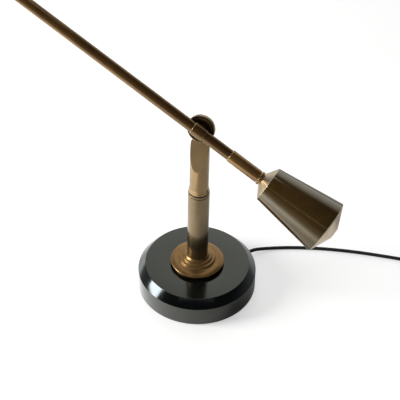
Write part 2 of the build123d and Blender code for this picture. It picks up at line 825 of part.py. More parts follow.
# The cap's side towards the tilt axis has a small flat and a hole for the switch.
def makeShadeCap():
    inner = cap_radius - cap_wall
    seat_radius = nipple_nut_flat / cos(radians(30)) + cap_seat_margin
    cap = turned(
        (nipple_hole, cap_top),
        (shade_collar_radius, cap_top),
        (cap_radius, cap_shoulder, cap_round),
        (cap_radius, shell_top),
        (inner, shell_top),
        (inner, cap_shoulder + cap_wall / 2),
        (seat_radius, cap_ceiling),
        (nipple_hole, cap_ceiling),
    )
    outside = Box(2 * cap_radius, cap_radius, 3 * cap_barrel_length)
    flat = Pos(0, switch_flat + cap_radius / 2, switch_middle) * outside
    spot = Cylinder(switch_ring_radius + switch_flat_margin, 4 * cap_radius)
    cap -= flat & (Pos(0, 0, switch_middle) * Rot(90, 0, 0) * spot)
    hole = rod(switch_neck_radius + seat_clearance, 0, 2 * cap_radius)
    cap -= Pos(0, 0, switch_middle) * Rot(-90, 0, 0) * hole
    return cap


def shellRadiusAt(distance):
    return shell_top_radius + (distance - shell_top) / shell_length * (shell_bottom_radius - shell_top_radius)


def makeShadeShell():
    slant = hypot(shell_length, shell_bottom_radius - shell_top_radius)
    side_wall = shell_wall * slant / shell_length
    plate_bottom = shell_top + shell_wall
    return turned(
        (shell_hole, shell_top),
        (shell_top_radius, shell_top, shell_top_round),
        (shell_bottom_radius, shell_bottom),
        (shell_bottom_radius - side_wall, shell_bottom),
        (shellRadiusAt(plate_bottom) - side_wall, plate_bottom),
        (shell_hole, plate_bottom),
    ) + turned(
        (shell_bottom_radius - side_wall, shell_bottom - 2 * shell_lip_radius),
        (shell_bottom_radius - shell_lip_radius, shell_bottom - 2 * shell_lip_radius),
        (shell_bottom_radius, shell_bottom),
        (shell_bottom_radius - side_wall - shell_lip_radius, shell_bottom),
    )


def makeLampholder():
    socket = bulb_cap_radius + bulb_thread_clearance
    shoulder_top = shell_top - lampholder_shoulder_height
    body = turned(
        (nipple_hole, lampholder_top),
        (lampholder_radius, lampholder_top, lampholder_top_round),
        (lampholder_radius, shoulder_top),
        (lampholder_shoulder_radius, shoulder_top),
        (lampholder_shoulder_radius, shell_top),
        (lampholder_radius, shell_top),
        (lampholder_radius, lampholder_bottom, lampholder_rim_round),
        (socket, lampholder_bottom),
        (socket, lampholder_socket),
        (nipple_hole, lampholder_socket),
    )
    ring_top = shell_top + shell_wall
    ring = pipe(lampholder_ring_radius, lampholder_radius + thread_clearance, ring_top,
                ring_top + lampholder_ring_height)
    nipple_end = lampholder_socket - shade_nipple_gap
    nipple = pipe(nipple_radius, nipple_bore_radius, shade_nipple_top, nipple_end)
    save("shade_nipple", on(shade_frame, nipple))
    save("nipple_nut", on(shade_frame, hexagonNut(nipple_nut_flat, nipple_hole, cap_ceiling,
                                                  cap_ceiling + nipple_nut_height)))
    save("lampholder", on(shade_frame, body))
    save("lampholder_ring", on(shade_frame, ring))


# A hollow ball that a straight cone joins to the lamp's cap
def makeBulb():
    tip = bulb_neck_top - bulb_cap_length
    cap = turned(
        (0, tip),
        (bulb_cap_tip_radius, tip),
        (bulb_cap_radius, tip + bulb_cap_tip_height),
        (bulb_cap_radius, bulb_neck_top),
        (0, bulb_neck_top),
    )
    cone_radius = bulb_radius * cos(radians(bulb_cone_angle))
    cone_end = bulb_ball_middle - bulb_radius * sin(radians(bulb_cone_angle))
    outer = Pos(0, 0, bulb_ball_middle) * Sphere(bulb_radius)
    outer += turned((0, bulb_neck_top), (bulb_neck_radius, bulb_neck_top),
                    (cone_radius, cone_end), (0, cone_end))
    inner = Pos(0, 0, bulb_ball_middle) * Sphere(bulb_radius - bulb_wall)
    inner += turned((0, bulb_neck_top), (bulb_neck_radius - bulb_wall, bulb_neck_top),
                    (cone_radius - bulb_wall, cone_end), (0, cone_end))
    save("bulb_cap", on(shade_frame, cap))
    save("bulb_glass", on(shade_frame, outer - inner))


def makeSwitch():
    switch_frame = Plane(origin=shade_centre - rise_axis * switch_middle, x_dir=side_axis, z_dir=tilt_axis)
    shoulder = sqrt((cap_radius - cap_wall) ** 2 - switch_radius ** 2) - switch_gap
    bore = button_radius + running_clearance
    button_end = switch_neck_end + button_standout
    button_start = button_end - button_length
    bore_start = button_start - button_travel - button_room
    body = rod(switch_radius, switch_depth, shoulder) + rod(switch_neck_radius, shoulder, switch_neck_end)
    body -= rod(bore, bore_start, switch_neck_end)
    ring = pipe(switch_ring_radius, switch_neck_radius + thread_clearance, switch_flat,
                switch_flat + switch_ring_height)
    button = turned((0, button_start), (button_radius, button_start),
                    (button_radius, button_end, button_edge_round), (0, button_end))
    save("switch_body", on(switch_frame, body))
    save("switch_ring", on(switch_frame, ring))
    save("switch_button", on(switch_frame, button))


def makeShade():
    save("shade_knuckle", makeShadeKnuckle())
    makeKnuckleScrew()
    save("shade_cap", on(shade_frame, makeShadeCap()))
    save("shade_shell", on(shade_frame, makeShadeShell()))
    makeLampholder()
    makeBulb()
    makeSwitch()


# ---- wiring inside the base and stem ----
def makeInnerWiring():
    gland_tip = base_radius + gland_length
    flange_end = base_radius + gland_flange_thickness
    bore = cord_radius + seat_clearance
    gland = turned(
        (bore, gland_start),
        (gland_body_radius, gland_start),
        (gland_body_radius, base_radius),
        (gland_flange_radius, base_radius),
        (gland_flange_radius, flange_end, gland_flange_round),
        (gland_taper_radius, flange_end),
        (gland_tip_radius, gland_tip, gland_tip_round),
        (bore, gland_tip),
    )
    save("cord_gland", on(exit_frame, gland))
    save("mains_tail", on(exit_frame, rod(cord_radius, inner_cord_start, gland_tip)))
    # The clamp is a bridge over the cord, with its feet on the base plate.
    clamp_top = cord_exit_height + cord_radius + seat_clearance + clamp_wall
    clamp_place = exit_axis * clamp_radius + Vector(0, 0, plate_top)
    clamp_frame = Plane(origin=clamp_place, x_dir=exit_axis, z_dir=(0, 0, 1))
    clamp = on(clamp_frame, centredBox(clamp_length, clamp_width, clamp_top - plate_top))
    clamp -= on(exit_frame, rod(cord_radius + seat_clearance, 0, base_radius))
    save("cord_clamp", clamp)
    block_place = exit_axis * (inner_cord_start - block_length / 2) + Vector(0, 0, plate_top)
    block_frame = Plane(origin=block_place, x_dir=exit_axis, z_dir=(0, 0, 1))
    block = centredBox(block_length, block_width, block_height)
    save("terminal_block", on(block_frame, chamfer(block.edges().group_by(Axis.Z)[-1], block_chamfer)))
    lead_start = exit_axis * (inner_cord_start - block_length) + Vector(0, 0, cord_exit_height)
    lead_corner = Vector(0, 0, cord_exit_height)
    lead_end = Vector(0, 0, joint_height - lead_top_gap)
    lead_path = FilletPolyline(lead_start, lead_corner, lead_end, radius=lead_bend)
    lead_section = Plane(origin=lead_start, z_dir=exit_axis * -1) * Circle(lead_radius)
    save("stem_lead", sweep(lead_section, path=lead_path))


# ---- cord on the floor ----
# Points chosen by hand: out of the gland, down to the floor, and along it to the coil
cord_exit_point = exit_axis * (base_radius + gland_length) + Vector(0, 0, cord_exit_height)
run_points = [
    cord_exit_point,
    cord_exit_point + exit_axis * 8.5,
    Vector(67.6, 86.9, 4.9),
    Vector(78.2, 93.6, 3.1),
    Vector(91.2, 99.5, 2.6),
    Vector(112.0, 107.1, 2.6),
    Vector(150.0, 117.5, 2.6),
    Vector(196.0, 125.7, 2.6),
    Vector(236.0, 129.9, 2.6),
    Vector(259.0, 131.4, 2.9),
    Vector(279.0, 132.0, 3.7),
    Vector(301.0, 132.0, 3.7),
]
# From the top layer of the coil down to the plug
tail_points = [
    Vector(311.0, 129.25, 20.2),
    Vector(323.0, 129.25, 20.2),
    Vector(337.0, 127.0, 15.5),
    Vector(350.0, 124.5, 9.5),
    Vector(363.0, 122.0, 7.0),
    Vector(375.0, 119.7, 7.0),
]


# Each arc is as large as its two runs allow.
def bendRadii(points):
    radii = []
    for before, here, after in zip(points, points[1:], points[2:]):
        first = here - before
        second = after - here
        turn = radians(first.get_angle(second))
        radii.append(0.45 * min(first.length, second.length) / tan(turn / 2))
    return radii


def sweepCord(path, start, heading):
    tube = sweep(Plane(origin=start, z_dir=heading) * Circle(cord_radius), path=path)
    length = sum(edge.length for edge in path.edges())
    section = pi * cord_radius ** 2
    print(f"  length {length:.1f} mm, volume / (section x length) {tube.volume / (section * length):.5f}")
    return tube, length


def makeRun(name, points):
    radii = bendRadii(points)
    print(name, "radii", [round(radius, 1) for radius in radii])
    tube, length = sweepCord(FilletPolyline(*points, radius=radii), points[0], points[1] - points[0])
    save(name, tube)
    return length


# Radius at the start of each half turn, and its layer: in and out again, with a half turn one step
# past the reversal where the cord climbs.
def coilNodes():
    turns_inward = [coil_inner_radius + coil_turn_step * step for step in (3, 2, 1, 0)]
    nodes = []
    for layer in range(coil_layers):
        if layer % 2 == 0:
            radii = turns_inward if layer == 0 else [turns_inward[0] + coil_turn_step] + turns_inward[1:]
        else:
            radii = [coil_inner_radius - coil_turn_step] + turns_inward[2::-1]
        nodes += [(radius, layer) for radius in radii]
    nodes.append((turns_inward[0] + coil_turn_step, coil_layers - 1))
    return nodes


# Two quarter turns that carry the cord from one side of the coil to the other
def halfTurn(start, end, heading):
    reach = (end - start).length / 2
    middle = (start + end) * 0.5 + heading * reach
    towards = (end - start).normalized()
    return [TangentArc(start, middle, tangent=heading), TangentArc(middle, end, tangent=towards)]


# Least distance between stretches of the path that are most of a half turn apart, less the diameter
def leastGap(edges):
    steps = 12
    points = [edge @ (step / steps) for edge in edges for step in range(steps)]
    apart = steps + 4
    least = min((points[i] - points[j]).length
                for i in range(len(points)) for j in range(i + apart, len(points)))
    return least - 2 * cord_radius


def makeCoil():
    start = run_points[-1]
    nodes = coilNodes()
    first_radius = nodes[0][0]
    centre = start + Vector(coil_lead, first_radius, 0)
    places = []
    for number, (radius, layer) in enumerate(nodes):
        side = -1 if number % 2 == 0 else 1
        places.append(centre + Vector(0, side * radius, layer * coil_layer_step))
    parts = [Line(start, places[0])]
    for number, (here, there) in enumerate(zip(places, places[1:])):
        heading = Vector(1 if number % 2 == 0 else -1, 0, 0)
        parts += halfTurn(here, there, heading)
    parts.append(Line(places[-1], tail_points[0]))
    edges = [part.edge() for part in parts]
    path = Wire(edges)
    tube, length = sweepCord(path, start, Vector(1, 0, 0))
    print(f"cord_coil: least gap to itself {leastGap(edges):.2f} mm, ends at {places[-1]}")
    save("cord_coil", tube)
    return length, centre


def makeTie(centre):
    inner_side = coil_inner_radius - cord_radius - tie_side_gap
    outer_side = coil_inner_radius + 3 * coil_turn_step + cord_radius + tie_side_gap
    low = centre.Z - cord_radius - tie_gap
    high = centre.Z + (coil_layers - 1) * coil_layer_step + cord_radius + tie_gap
    place = (centre.X - tie_width / 2, centre.Y + (inner_side + outer_side) / 2, (low + high) / 2)
    frame = Plane(origin=place, x_dir=(0, 1, 0), z_dir=(1, 0, 0))
    wide = outer_side - inner_side
    tall = high - low
    outer = RectangleRounded(wide + 2 * tie_thickness, tall + 2 * tie_thickness, tie_round + tie_thickness)
    inner = RectangleRounded(wide, tall, tie_round)
    save("coil_tie", extrude(frame * (outer - inner), tie_width))


# A flat two-pin plug that lies on its broad side
def makePlug():
    end = tail_points[-1]
    heading = (end - tail_points[-2]).normalized()
    frame = Plane(origin=end, x_dir=heading, z_dir=(0, 0, 1))
    half_back = plug_back_width / 2
    half_wide = plug_width / 2
    half_nose = plug_nose_width / 2
    back = plug_collar_length
    shoulder = back + plug_shoulder_length
    front = plug_length
    rounds = [plug_back_round, plug_shoulder_round, plug_nose_round]
    outline = FilletPolyline(
        (back, half_back), (shoulder, half_wide), (front, half_nose),
        (front, -half_nose), (shoulder, -half_wide), (back, -half_back),
        radius=rounds + rounds[::-1], close=True)
    body = extrude(Plane.XY.offset(-plug_thickness / 2) * make_face(outline), plug_thickness)
    rims = body.edges().filter_by(Plane.XY)
    body = fillet(rims, plug_round)
    collar = Rot(0, 90, 0) * rod(plug_collar_radius, 0, back + plug_collar_overlap)
    body += collar
    pin = Rot(0, 90, 0) * rod(plug_pin_radius, front - plug_pin_depth, front + plug_pin_length)
    hole = Rot(0, 90, 0) * rod(plug_pin_radius + seat_clearance, front - plug_pin_depth, front + overcut)
    sides = [-plug_pin_spacing / 2, plug_pin_spacing / 2]
    for side in sides:
        body -= Pos(0, side, 0) * hole
    save("plug_body", on(frame, body))
    save("plug_pins", on(frame, Compound([Pos(0, side, 0) * pin for side in sides])))


def makeCord():
    run_length = makeRun("cord_run", run_points)
    coil_length, coil_centre = makeCoil()
    tail_length = makeRun("cord_tail", tail_points)
    makeTie(coil_centre)
    makePlug()
    print(f"cord outside the base: {run_length + coil_length + tail_length:.0f} mm")


makeBase()
makeStemFixings()
makeSwivel()
makeUpperBody()
makeArm()
makeShade()
makeInnerWiring()
makeCord()
print("joint centre", joint_centre, "tilt axis", tilt_axis, "arm axis", arm_axis)
print("shade pin", shade_centre, "arm centre", arm_centre)
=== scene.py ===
# Desk lamp with a counterweighted arm: surfaces, finishes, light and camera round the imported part.
# The lamp's pieces are given in millimetres, and the camera, lights and floor in metres.
import json
import math

import bmesh
import bpy
import numpy as np
from mathutils import Matrix, Vector


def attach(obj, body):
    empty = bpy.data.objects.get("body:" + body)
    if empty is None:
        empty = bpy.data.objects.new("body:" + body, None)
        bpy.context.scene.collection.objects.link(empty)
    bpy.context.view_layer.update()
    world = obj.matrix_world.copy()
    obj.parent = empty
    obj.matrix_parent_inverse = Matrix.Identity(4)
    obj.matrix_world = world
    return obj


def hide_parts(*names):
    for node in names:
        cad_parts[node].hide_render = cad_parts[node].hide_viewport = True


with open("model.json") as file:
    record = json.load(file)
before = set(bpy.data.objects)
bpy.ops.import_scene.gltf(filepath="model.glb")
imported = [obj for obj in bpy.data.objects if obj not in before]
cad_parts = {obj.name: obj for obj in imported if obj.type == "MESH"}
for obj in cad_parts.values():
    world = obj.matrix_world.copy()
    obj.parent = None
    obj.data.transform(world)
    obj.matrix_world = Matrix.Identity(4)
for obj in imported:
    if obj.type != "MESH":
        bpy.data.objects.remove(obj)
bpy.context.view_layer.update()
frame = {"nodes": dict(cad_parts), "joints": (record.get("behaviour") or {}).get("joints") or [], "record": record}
nodes = frame["nodes"]
bodies = frame["record"]["behaviour"]["bodies"]
bodyOf = {node: body for body, members in bodies.items() for node in members}
mm = 0.001

# Centres and directions of the lamp's joints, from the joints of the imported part
joints = {row["name"]: row for row in frame["joints"]}
jointCentre = np.array(joints["arm_tilt"]["pos_m"]) / mm
shadePin = np.array(joints["shade_tilt"]["pos_m"]) / mm
tiltAxis = np.array(joints["arm_tilt"]["axis"])
sideAxis = np.array([1.0, 0.0, 0.0])
upAxis = np.array([0.0, 0.0, 1.0])
riseAxis = np.cross(tiltAxis, sideAxis)
origin = np.zeros(3)

# The arm's line: its slope in the plane in which it tilts, and its distance from the joint's centre
armPitch = math.radians(-26.9)
armHeight = 9.0
armAxis = sideAxis * math.cos(armPitch) + riseAxis * math.sin(armPitch)
armCentre = jointCentre + tiltAxis * armHeight


# Camera at the photograph's angle
cameraView = {
    "place": (0.41088, -1.39025, 1.47515),
    "right": (0.95401, 0.29916, 0.01934),
    "up": (-0.21528, 0.63874, 0.73869),
    "back": (0.20864, -0.70888, 0.67376),
    "lens": 135.0,
    "sensor": 36.0,
    "nearest": 0.05,
    "farthest": 40.0,
}


def makeCamera(view):
    data = bpy.data.cameras.new("lampCamera")
    data.lens = view["lens"]
    data.sensor_width = view["sensor"]
    data.clip_start = view["nearest"]
    data.clip_end = view["farthest"]
    camera = bpy.data.objects.new("lampCamera", data)
    turn = Matrix((view["right"], view["up"], view["back"])).transposed().to_4x4()
    camera.matrix_world = Matrix.Translation(view["place"]) @ turn
    bpy.context.scene.collection.objects.link(camera)
    bpy.context.scene.camera = camera


makeCamera(cameraView)
print("camera placed")


# A small node builder. An input is a socket to link or a value to set, by its socket's name or place.
class NodeBuilder:
    def __init__(self, tree):
        self.tree = tree

    def node(self, kind, inputs=None, **settings):
        made = self.tree.nodes.new("ShaderNode" + kind)
        for setting, value in settings.items():
            setattr(made, setting, value)
        for socket, value in (inputs or {}).items():
            if isinstance(value, bpy.types.NodeSocket):
                self.tree.links.new(value, made.inputs[socket])
            else:
                made.inputs[socket].default_value = value
        return made

    def calculate(self, operation, first, second):
        return self.node("Math", {0: first, 1: second}, operation=operation).outputs[0]

    # A value from one range carried to another
    def spread(self, value, low, high, toLow, toHigh, kind="LINEAR"):
        inputs = {"Value": value, "From Min": low, "From Max": high, "To Min": toLow, "To Max": toHigh}
        return self.node("MapRange", inputs, interpolation_type=kind).outputs["Result"]

    # A number between two others. The Mix node has its number sockets at places 2 and 3.
    def between(self, share, first, second):
        return self.node("Mix", {"Factor": share, 2: first, 3: second}, data_type="FLOAT").outputs[0]

    # A colour between two others. The Mix node has its colour sockets at places 6 and 7.
    def mix(self, share, first, second):
        sockets = {"Factor": share}
        for place, colour in ((6, first), (7, second)):
            sockets[place] = colour if isinstance(colour, bpy.types.NodeSocket) else (*colour, 1.0)
        return self.node("Mix", sockets, data_type="RGBA").outputs[2]


# Each finish is a new material with one Principled shader
class Finish(NodeBuilder):
    def __init__(self, name):
        self.material = bpy.data.materials.new(name)
        self.material.use_nodes = True
        super().__init__(self.material.node_tree)
        self.shader = self.tree.nodes["Principled BSDF"]

    def set(self, **values):
        for socket, value in values.items():
            self.shader.inputs[socket.replace("_", " ")].default_value = value

    def link(self, output, socket):
        self.tree.links.new(output, self.shader.inputs[socket])

    def objectPlace(self):
        return self.node("TexCoord").outputs["Object"]

    # On a turned piece: the cosine and sine of a point's angle round the axis, and its metres along the outline
    def turnedPlace(self):
        return self.node("Attribute", attribute_name="turnedAt").outputs["Vector"]

    # 1 along the middle of a rounded outer edge of a turned piece, 0 elsewhere: where the bright edge colour goes,
    # partly wear and partly a painted highlight
    def edgeWearAndSheen(self):
        return self.node("Attribute", attribute_name="edgeWearAndSheen").outputs["Fac"]

    # Noise on the given coordinates, stretched by a scale in cycles per metre
    def noise(self, coordinates, scale, detail=3.0, roughness=0.55):
        stretched = self.node("Mapping", {"Vector": coordinates, "Scale": scale}).outputs["Vector"]
        inputs = {"Vector": stretched, "Scale": 1.0, "Detail": detail, "Roughness": roughness}
        return self.node("TexNoise", inputs).outputs["Fac"]

    # Fine lines as a lathe leaves them: noise that hardly changes round the axis and changes fast along it
    def latheLines(self, coordinates, waviness, lines):
        return self.noise(coordinates, (waviness, waviness, lines), detail=2.0)

    # Relief in which a height of 1 stands for the given depth in millimetres
    def bump(self, height, depth):
        relief = self.node("Bump", {"Height": height, "Distance": depth * mm, "Strength": 1.0})
        self.link(relief.outputs["Normal"], "Normal")


# Noise values lie mostly in the usual range, and nearly all of them in the wide one
usualNoise = (0.3, 0.7)
wideNoise = (0.25, 0.75)

# What all the brass finishes share. Scales are in cycles per metre, apart from the waviness of turned lines,
# which is in cycles on a circle of radius 1.
brassGrain = {"turnedWaviness": 1.2, "uprightWaviness": 12.0, "specks": 900.0, "cloudShare": 0.7,
              "lineShare": 0.3, "freckles": (0.52, 0.66), "freckleShare": 0.5, "rubbedSheen": (0.35, 0.6),
              "leastRubbedSheen": 0.35}


# Patinated brass: clouds and lathe lines between patina and bare metal, with dark freckles. A turned piece also
# has bright edges, partly rubbed wear and partly a painted highlight, and its lines run round its own axis.
# On other pieces they run round the upright axis.
def agedBrass(name, tone, turned=True, grain=brassGrain):
    finish = Finish(name)
    place = finish.objectPlace()
    if turned:
        lines = finish.latheLines(finish.turnedPlace(), grain["turnedWaviness"], tone["lines"])
    else:
        lines = finish.latheLines(place, grain["uprightWaviness"], tone["lines"])
    clouds = finish.noise(place, (tone["clouds"],) * 3, detail=4.0, roughness=0.6)
    specks = finish.noise(place, (grain["specks"],) * 3, detail=2.0)
    cloudy = finish.spread(clouds, *usualNoise, 0.0, grain["cloudShare"])
    lined = finish.spread(lines, *usualNoise, 0.0, grain["lineShare"])
    colour = finish.mix(finish.calculate("ADD", cloudy, lined), tone["patina"], tone["metal"])
    freckles = finish.spread(specks, *grain["freckles"], 0.0, grain["freckleShare"])
    colour = finish.mix(freckles, colour, tone["patina"])
    if turned:
        # Bright edge colour on small outer roundings: partly wear, partly a painted highlight on the edges
        patchy = finish.spread(clouds, *grain["rubbedSheen"], grain["leastRubbedSheen"], 1.0)
        colour = finish.mix(finish.calculate("MULTIPLY", finish.edgeWearAndSheen(), patchy), colour, tone["wornSheen"])
    finish.link(colour, "Base Color")
    finish.link(finish.spread(lines, *wideNoise, tone["smoothest"], tone["roughest"]), "Roughness")
    finish.set(Metallic=tone["metallic"], IOR=tone["ior"], Specular_Tint=(*tone["edgeTint"], 1.0))
    finish.bump(lines, tone["lineDepth"])
    return finish.material


brassTones = {
    "weight": {"patina": (0.05, 0.026, 0.005), "metal": (0.112, 0.057, 0.01), "wornSheen": (0.4, 0.27, 0.13),
               "lines": 2600.0, "clouds": 38.0, "metallic": 0.15, "ior": 1.88, "edgeTint": (0.97, 1.0, 0.84),
               "smoothest": 0.09, "roughest": 0.15, "lineDepth": 0.004},
    "arm": {"patina": (0.08, 0.038, 0.011), "metal": (0.155, 0.077, 0.023), "wornSheen": (0.55, 0.42, 0.26),
            "lines": 2600.0, "clouds": 38.0, "metallic": 0.45, "ior": 1.6, "edgeTint": (0.98, 0.9, 0.66),
            "smoothest": 0.09, "roughest": 0.15, "lineDepth": 0.006},
    "disc": {"patina": (0.05, 0.026, 0.01), "metal": (0.11, 0.06, 0.022), "wornSheen": (0.34, 0.22, 0.1),
             "lines": 1500.0, "clouds": 50.0, "metallic": 0.9, "ior": 1.5, "edgeTint": (0.3, 0.26, 0.2),
             "smoothest": 0.22, "roughest": 0.34, "lineDepth": 0.012},
    "rim": {"patina": (0.3, 0.22, 0.13), "metal": (0.58, 0.47, 0.32), "wornSheen": (0.7, 0.58, 0.4),
            "lines": 1500.0, "clouds": 50.0, "metallic": 0.6, "ior": 1.5, "edgeTint": (0.9, 0.85, 0.75),
            "smoothest": 0.2, "roughest": 0.3, "lineDepth": 0.01},
    "sleeve": {"patina": (0.17, 0.083, 0.023), "metal": (0.3, 0.155, 0.048), "wornSheen": (0.6, 0.45, 0.26),
               "lines": 2600.0, "clouds": 38.0, "metallic": 0.5, "ior": 1.75, "edgeTint": (1.0, 0.92, 0.74),
               "smoothest": 0.12, "roughest": 0.2, "lineDepth": 0.006},
    "cap": {"patina": (0.44, 0.35, 0.24), "metal": (0.72, 0.63, 0.49), "wornSheen": (0.74, 0.62, 0.45),
            "lines": 1800.0, "clouds": 60.0, "metallic": 1.0, "ior": 1.5, "edgeTint": (1.0, 0.97, 0.92),
            "smoothest": 0.24, "roughest": 0.38, "lineDepth": 0.01},
    "stem": {"patina": (0.145, 0.104, 0.052), "metal": (0.225, 0.165, 0.086), "wornSheen": (0.45, 0.32, 0.16),
             "lines": 900.0, "clouds": 26.0, "metallic": 0.78, "ior": 1.85, "edgeTint": (0.96, 0.97, 0.94),
             "smoothest": 0.14, "roughest": 0.22, "lineDepth": 0.008},
    "upperStem": {"patina": (0.18, 0.112, 0.046), "metal": (0.29, 0.192, 0.084), "wornSheen": (0.45, 0.32, 0.16),
                  "lines": 900.0, "clouds": 26.0, "metallic": 0.78, "ior": 1.9, "edgeTint": (0.96, 0.96, 0.92),
                  "smoothest": 0.14, "roughest": 0.22, "lineDepth": 0.008},
    "rosette": {"patina": (0.135, 0.07, 0.019), "metal": (0.3, 0.172, 0.058), "wornSheen": (0.5, 0.32, 0.14),
                "lines": 1800.0, "clouds": 60.0, "metallic": 0.7, "ior": 1.7, "edgeTint": (1.0, 0.94, 0.8),
                "smoothest": 0.26, "roughest": 0.4, "lineDepth": 0.01},
    "inner": {"patina": (0.45, 0.33, 0.17), "metal": (0.62, 0.48, 0.27), "wornSheen": (0.7, 0.55, 0.3),
              "lines": 1400.0, "clouds": 30.0, "metallic": 1.0, "ior": 1.5, "edgeTint": (1.0, 0.95, 0.85),
              "smoothest": 0.34, "roughest": 0.46, "lineDepth": 0.02},
}

# What both paints share, with scales as for brass
paintGrain = {"film": 22.0, "ripple": 420.0, "pits": 1900.0, "waviness": 1.2, "lines": 900.0,
              "wornSheen": (0.11, 0.075, 0.035), "rubbedSheen": (0.4, 0.7), "rubSheenShare": (0.2, 0.9)}


# Black paint on cast iron: the ripple that paint dries to, streaks that run outward from the axis and faint
# lines round it
def castPaint(name, tone, grain=paintGrain):
    finish = Finish(name)
    place = finish.objectPlace()
    turnedPlace = finish.turnedPlace()
    film = finish.noise(place, (grain["film"],) * 3, detail=4.0)
    ripple = finish.noise(place, (grain["ripple"],) * 3, detail=2.0)
    pits = finish.noise(place, (grain["pits"],) * 3, detail=1.0)
    streaks = finish.noise(turnedPlace, (tone["streaks"], tone["streaks"], 0.0))
    lines = finish.latheLines(turnedPlace, grain["waviness"], grain["lines"])
    colour = finish.mix(finish.spread(film, *usualNoise, 0.0, 1.0), tone["deep"], tone["film"])
    # Worn colour on small outer roundings: partly wear, partly a painted highlight along the rims
    patchy = finish.spread(pits, *grain["rubbedSheen"], *grain["rubSheenShare"])
    colour = finish.mix(finish.calculate("MULTIPLY", finish.edgeWearAndSheen(), patchy), colour, grain["wornSheen"])
    finish.link(colour, "Base Color")
    finish.link(finish.spread(streaks, *usualNoise, tone["smoothest"], tone["roughest"]), "Roughness")
    finish.set(IOR=tone["ior"], Specular_Tint=(*tone["sheenTint"], 1.0))
    relief = finish.calculate("ADD", ripple, finish.calculate("MULTIPLY", streaks, tone["streakShare"]))
    relief = finish.calculate("ADD", relief, finish.calculate("MULTIPLY", lines, tone["lineShare"]))
    finish.bump(relief, tone["depth"])
    return finish.material


paintTones = {
    "satin": {"deep": (0.0014, 0.0021, 0.0019), "film": (0.0042, 0.0055, 0.0046), "streaks": 40.0,
              "streakShare": 0.2, "lineShare": 0.25, "depth": 0.008, "smoothest": 0.1, "roughest": 0.17,
              "ior": 1.63, "sheenTint": (0.96, 1.0, 0.88)},
    "polished": {"deep": (0.0005, 0.0007, 0.0008), "film": (0.0012, 0.0016, 0.0018), "streaks": 110.0,
                 "streakShare": 1.2, "lineShare": 0.0, "depth": 0.007, "smoothest": 0.09, "roughest": 0.17,
                 "ior": 1.62, "sheenTint": (0.86, 0.97, 1.0)},
}


# Turned or rolled steel with fine lines and slightly uneven colour
def plainSteel(name, tone):
    finish = Finish(name)
    place = finish.objectPlace()
    lines = finish.noise(place, (tone["across"], tone["across"], tone["lines"]))
    clouds = finish.noise(place, (tone["clouds"],) * 3)
    colour = finish.mix(finish.spread(clouds, *usualNoise, 0.0, 1.0), tone["dark"], tone["light"])
    finish.link(colour, "Base Color")
    finish.link(finish.spread(lines, *usualNoise, tone["smoothest"], tone["roughest"]), "Roughness")
    finish.set(Metallic=1.0)
    finish.bump(lines, tone["lineDepth"])
    return finish.material


steelTone = {"dark": (0.42, 0.42, 0.41), "light": (0.6, 0.59, 0.57), "across": 260.0, "lines": 1400.0,
             "clouds": 70.0, "smoothest": 0.25, "roughest": 0.42, "lineDepth": 0.01}


# Moulded plastic, fibre, rubber and porcelain: a slightly uneven colour with a fine mould grain
def mouldedFinish(name, tone, clouds=45.0):
    finish = Finish(name)
    place = finish.objectPlace()
    grain = finish.noise(place, (tone["grain"],) * 3)
    uneven = finish.noise(place, (clouds,) * 3)
    colour = finish.mix(finish.spread(uneven, *usualNoise, 0.0, 1.0), tone["dark"], tone["light"])
    finish.link(colour, "Base Color")
    finish.link(finish.spread(grain, *wideNoise, tone["smoothest"], tone["roughest"]), "Roughness")
    finish.bump(grain, tone["grainDepth"])
    return finish.material


mouldedTones = {
    "fibre": {"dark": (0.003, 0.003, 0.003), "light": (0.008, 0.007, 0.006), "grain": 1500.0,
              "grainDepth": 0.05, "smoothest": 0.75, "roughest": 0.9},
    "pad": {"dark": (0.02, 0.02, 0.019), "light": (0.035, 0.034, 0.032), "grain": 900.0,
            "grainDepth": 0.15, "smoothest": 0.8, "roughest": 0.95},
    "porcelain": {"dark": (0.72, 0.69, 0.61), "light": (0.8, 0.77, 0.69), "grain": 500.0,
                  "grainDepth": 0.02, "smoothest": 0.12, "roughest": 0.22},
    "plug": {"dark": (0.012, 0.012, 0.013), "light": (0.02, 0.02, 0.021), "grain": 1800.0,
             "grainDepth": 0.03, "smoothest": 0.4, "roughest": 0.55},
    "cord": {"dark": (0.004, 0.004, 0.004), "light": (0.009, 0.009, 0.009), "grain": 1300.0,
             "grainDepth": 0.03, "smoothest": 0.5, "roughest": 0.62},
    "opal": {"dark": (0.8, 0.79, 0.76), "light": (0.86, 0.85, 0.82), "grain": 300.0,
             "grainDepth": 0.004, "smoothest": 0.1, "roughest": 0.16},
}

weightBronze = agedBrass("weightBronze", brassTones["weight"])
armBrass = agedBrass("armBrass", brassTones["arm"])
armBrassPlain = agedBrass("armBrassPlain", brassTones["arm"], turned=False)
sleeveBrass = agedBrass("sleeveBrass", brassTones["sleeve"])
capBrass = agedBrass("capBrass", brassTones["cap"])
stemBrass = agedBrass("stemBrass", brassTones["stem"])
upperStemBrass = agedBrass("upperStemBrass", brassTones["upperStem"], turned=False)
discBrass = agedBrass("discBrass", brassTones["disc"])
rimHighlightBrass = agedBrass("rimHighlightBrass", brassTones["rim"])
rosetteBrass = agedBrass("rosetteBrass", brassTones["rosette"])
innerBrass = agedBrass("innerBrass", brassTones["inner"])
basePaint = castPaint("basePaint", paintTones["satin"])
chamferPaint = castPaint("chamferPaint", paintTones["polished"])
steel = plainSteel("steel", steelTone)
fibre = mouldedFinish("fibre", mouldedTones["fibre"])
padFelt = mouldedFinish("padFelt", mouldedTones["pad"])
porcelain = mouldedFinish("porcelain", mouldedTones["porcelain"])
plugPlastic = mouldedFinish("plugPlastic", mouldedTones["plug"])
cordJacket = mouldedFinish("cordJacket", mouldedTones["cord"])
opalGlass = mouldedFinish("opalGlass", mouldedTones["opal"])
print("finishes made")


# The piece moves with the body of the nodes that it stands for
def standFor(piece, slotName, *names):
    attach(piece, bodyOf[names[0]])
    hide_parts(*names)


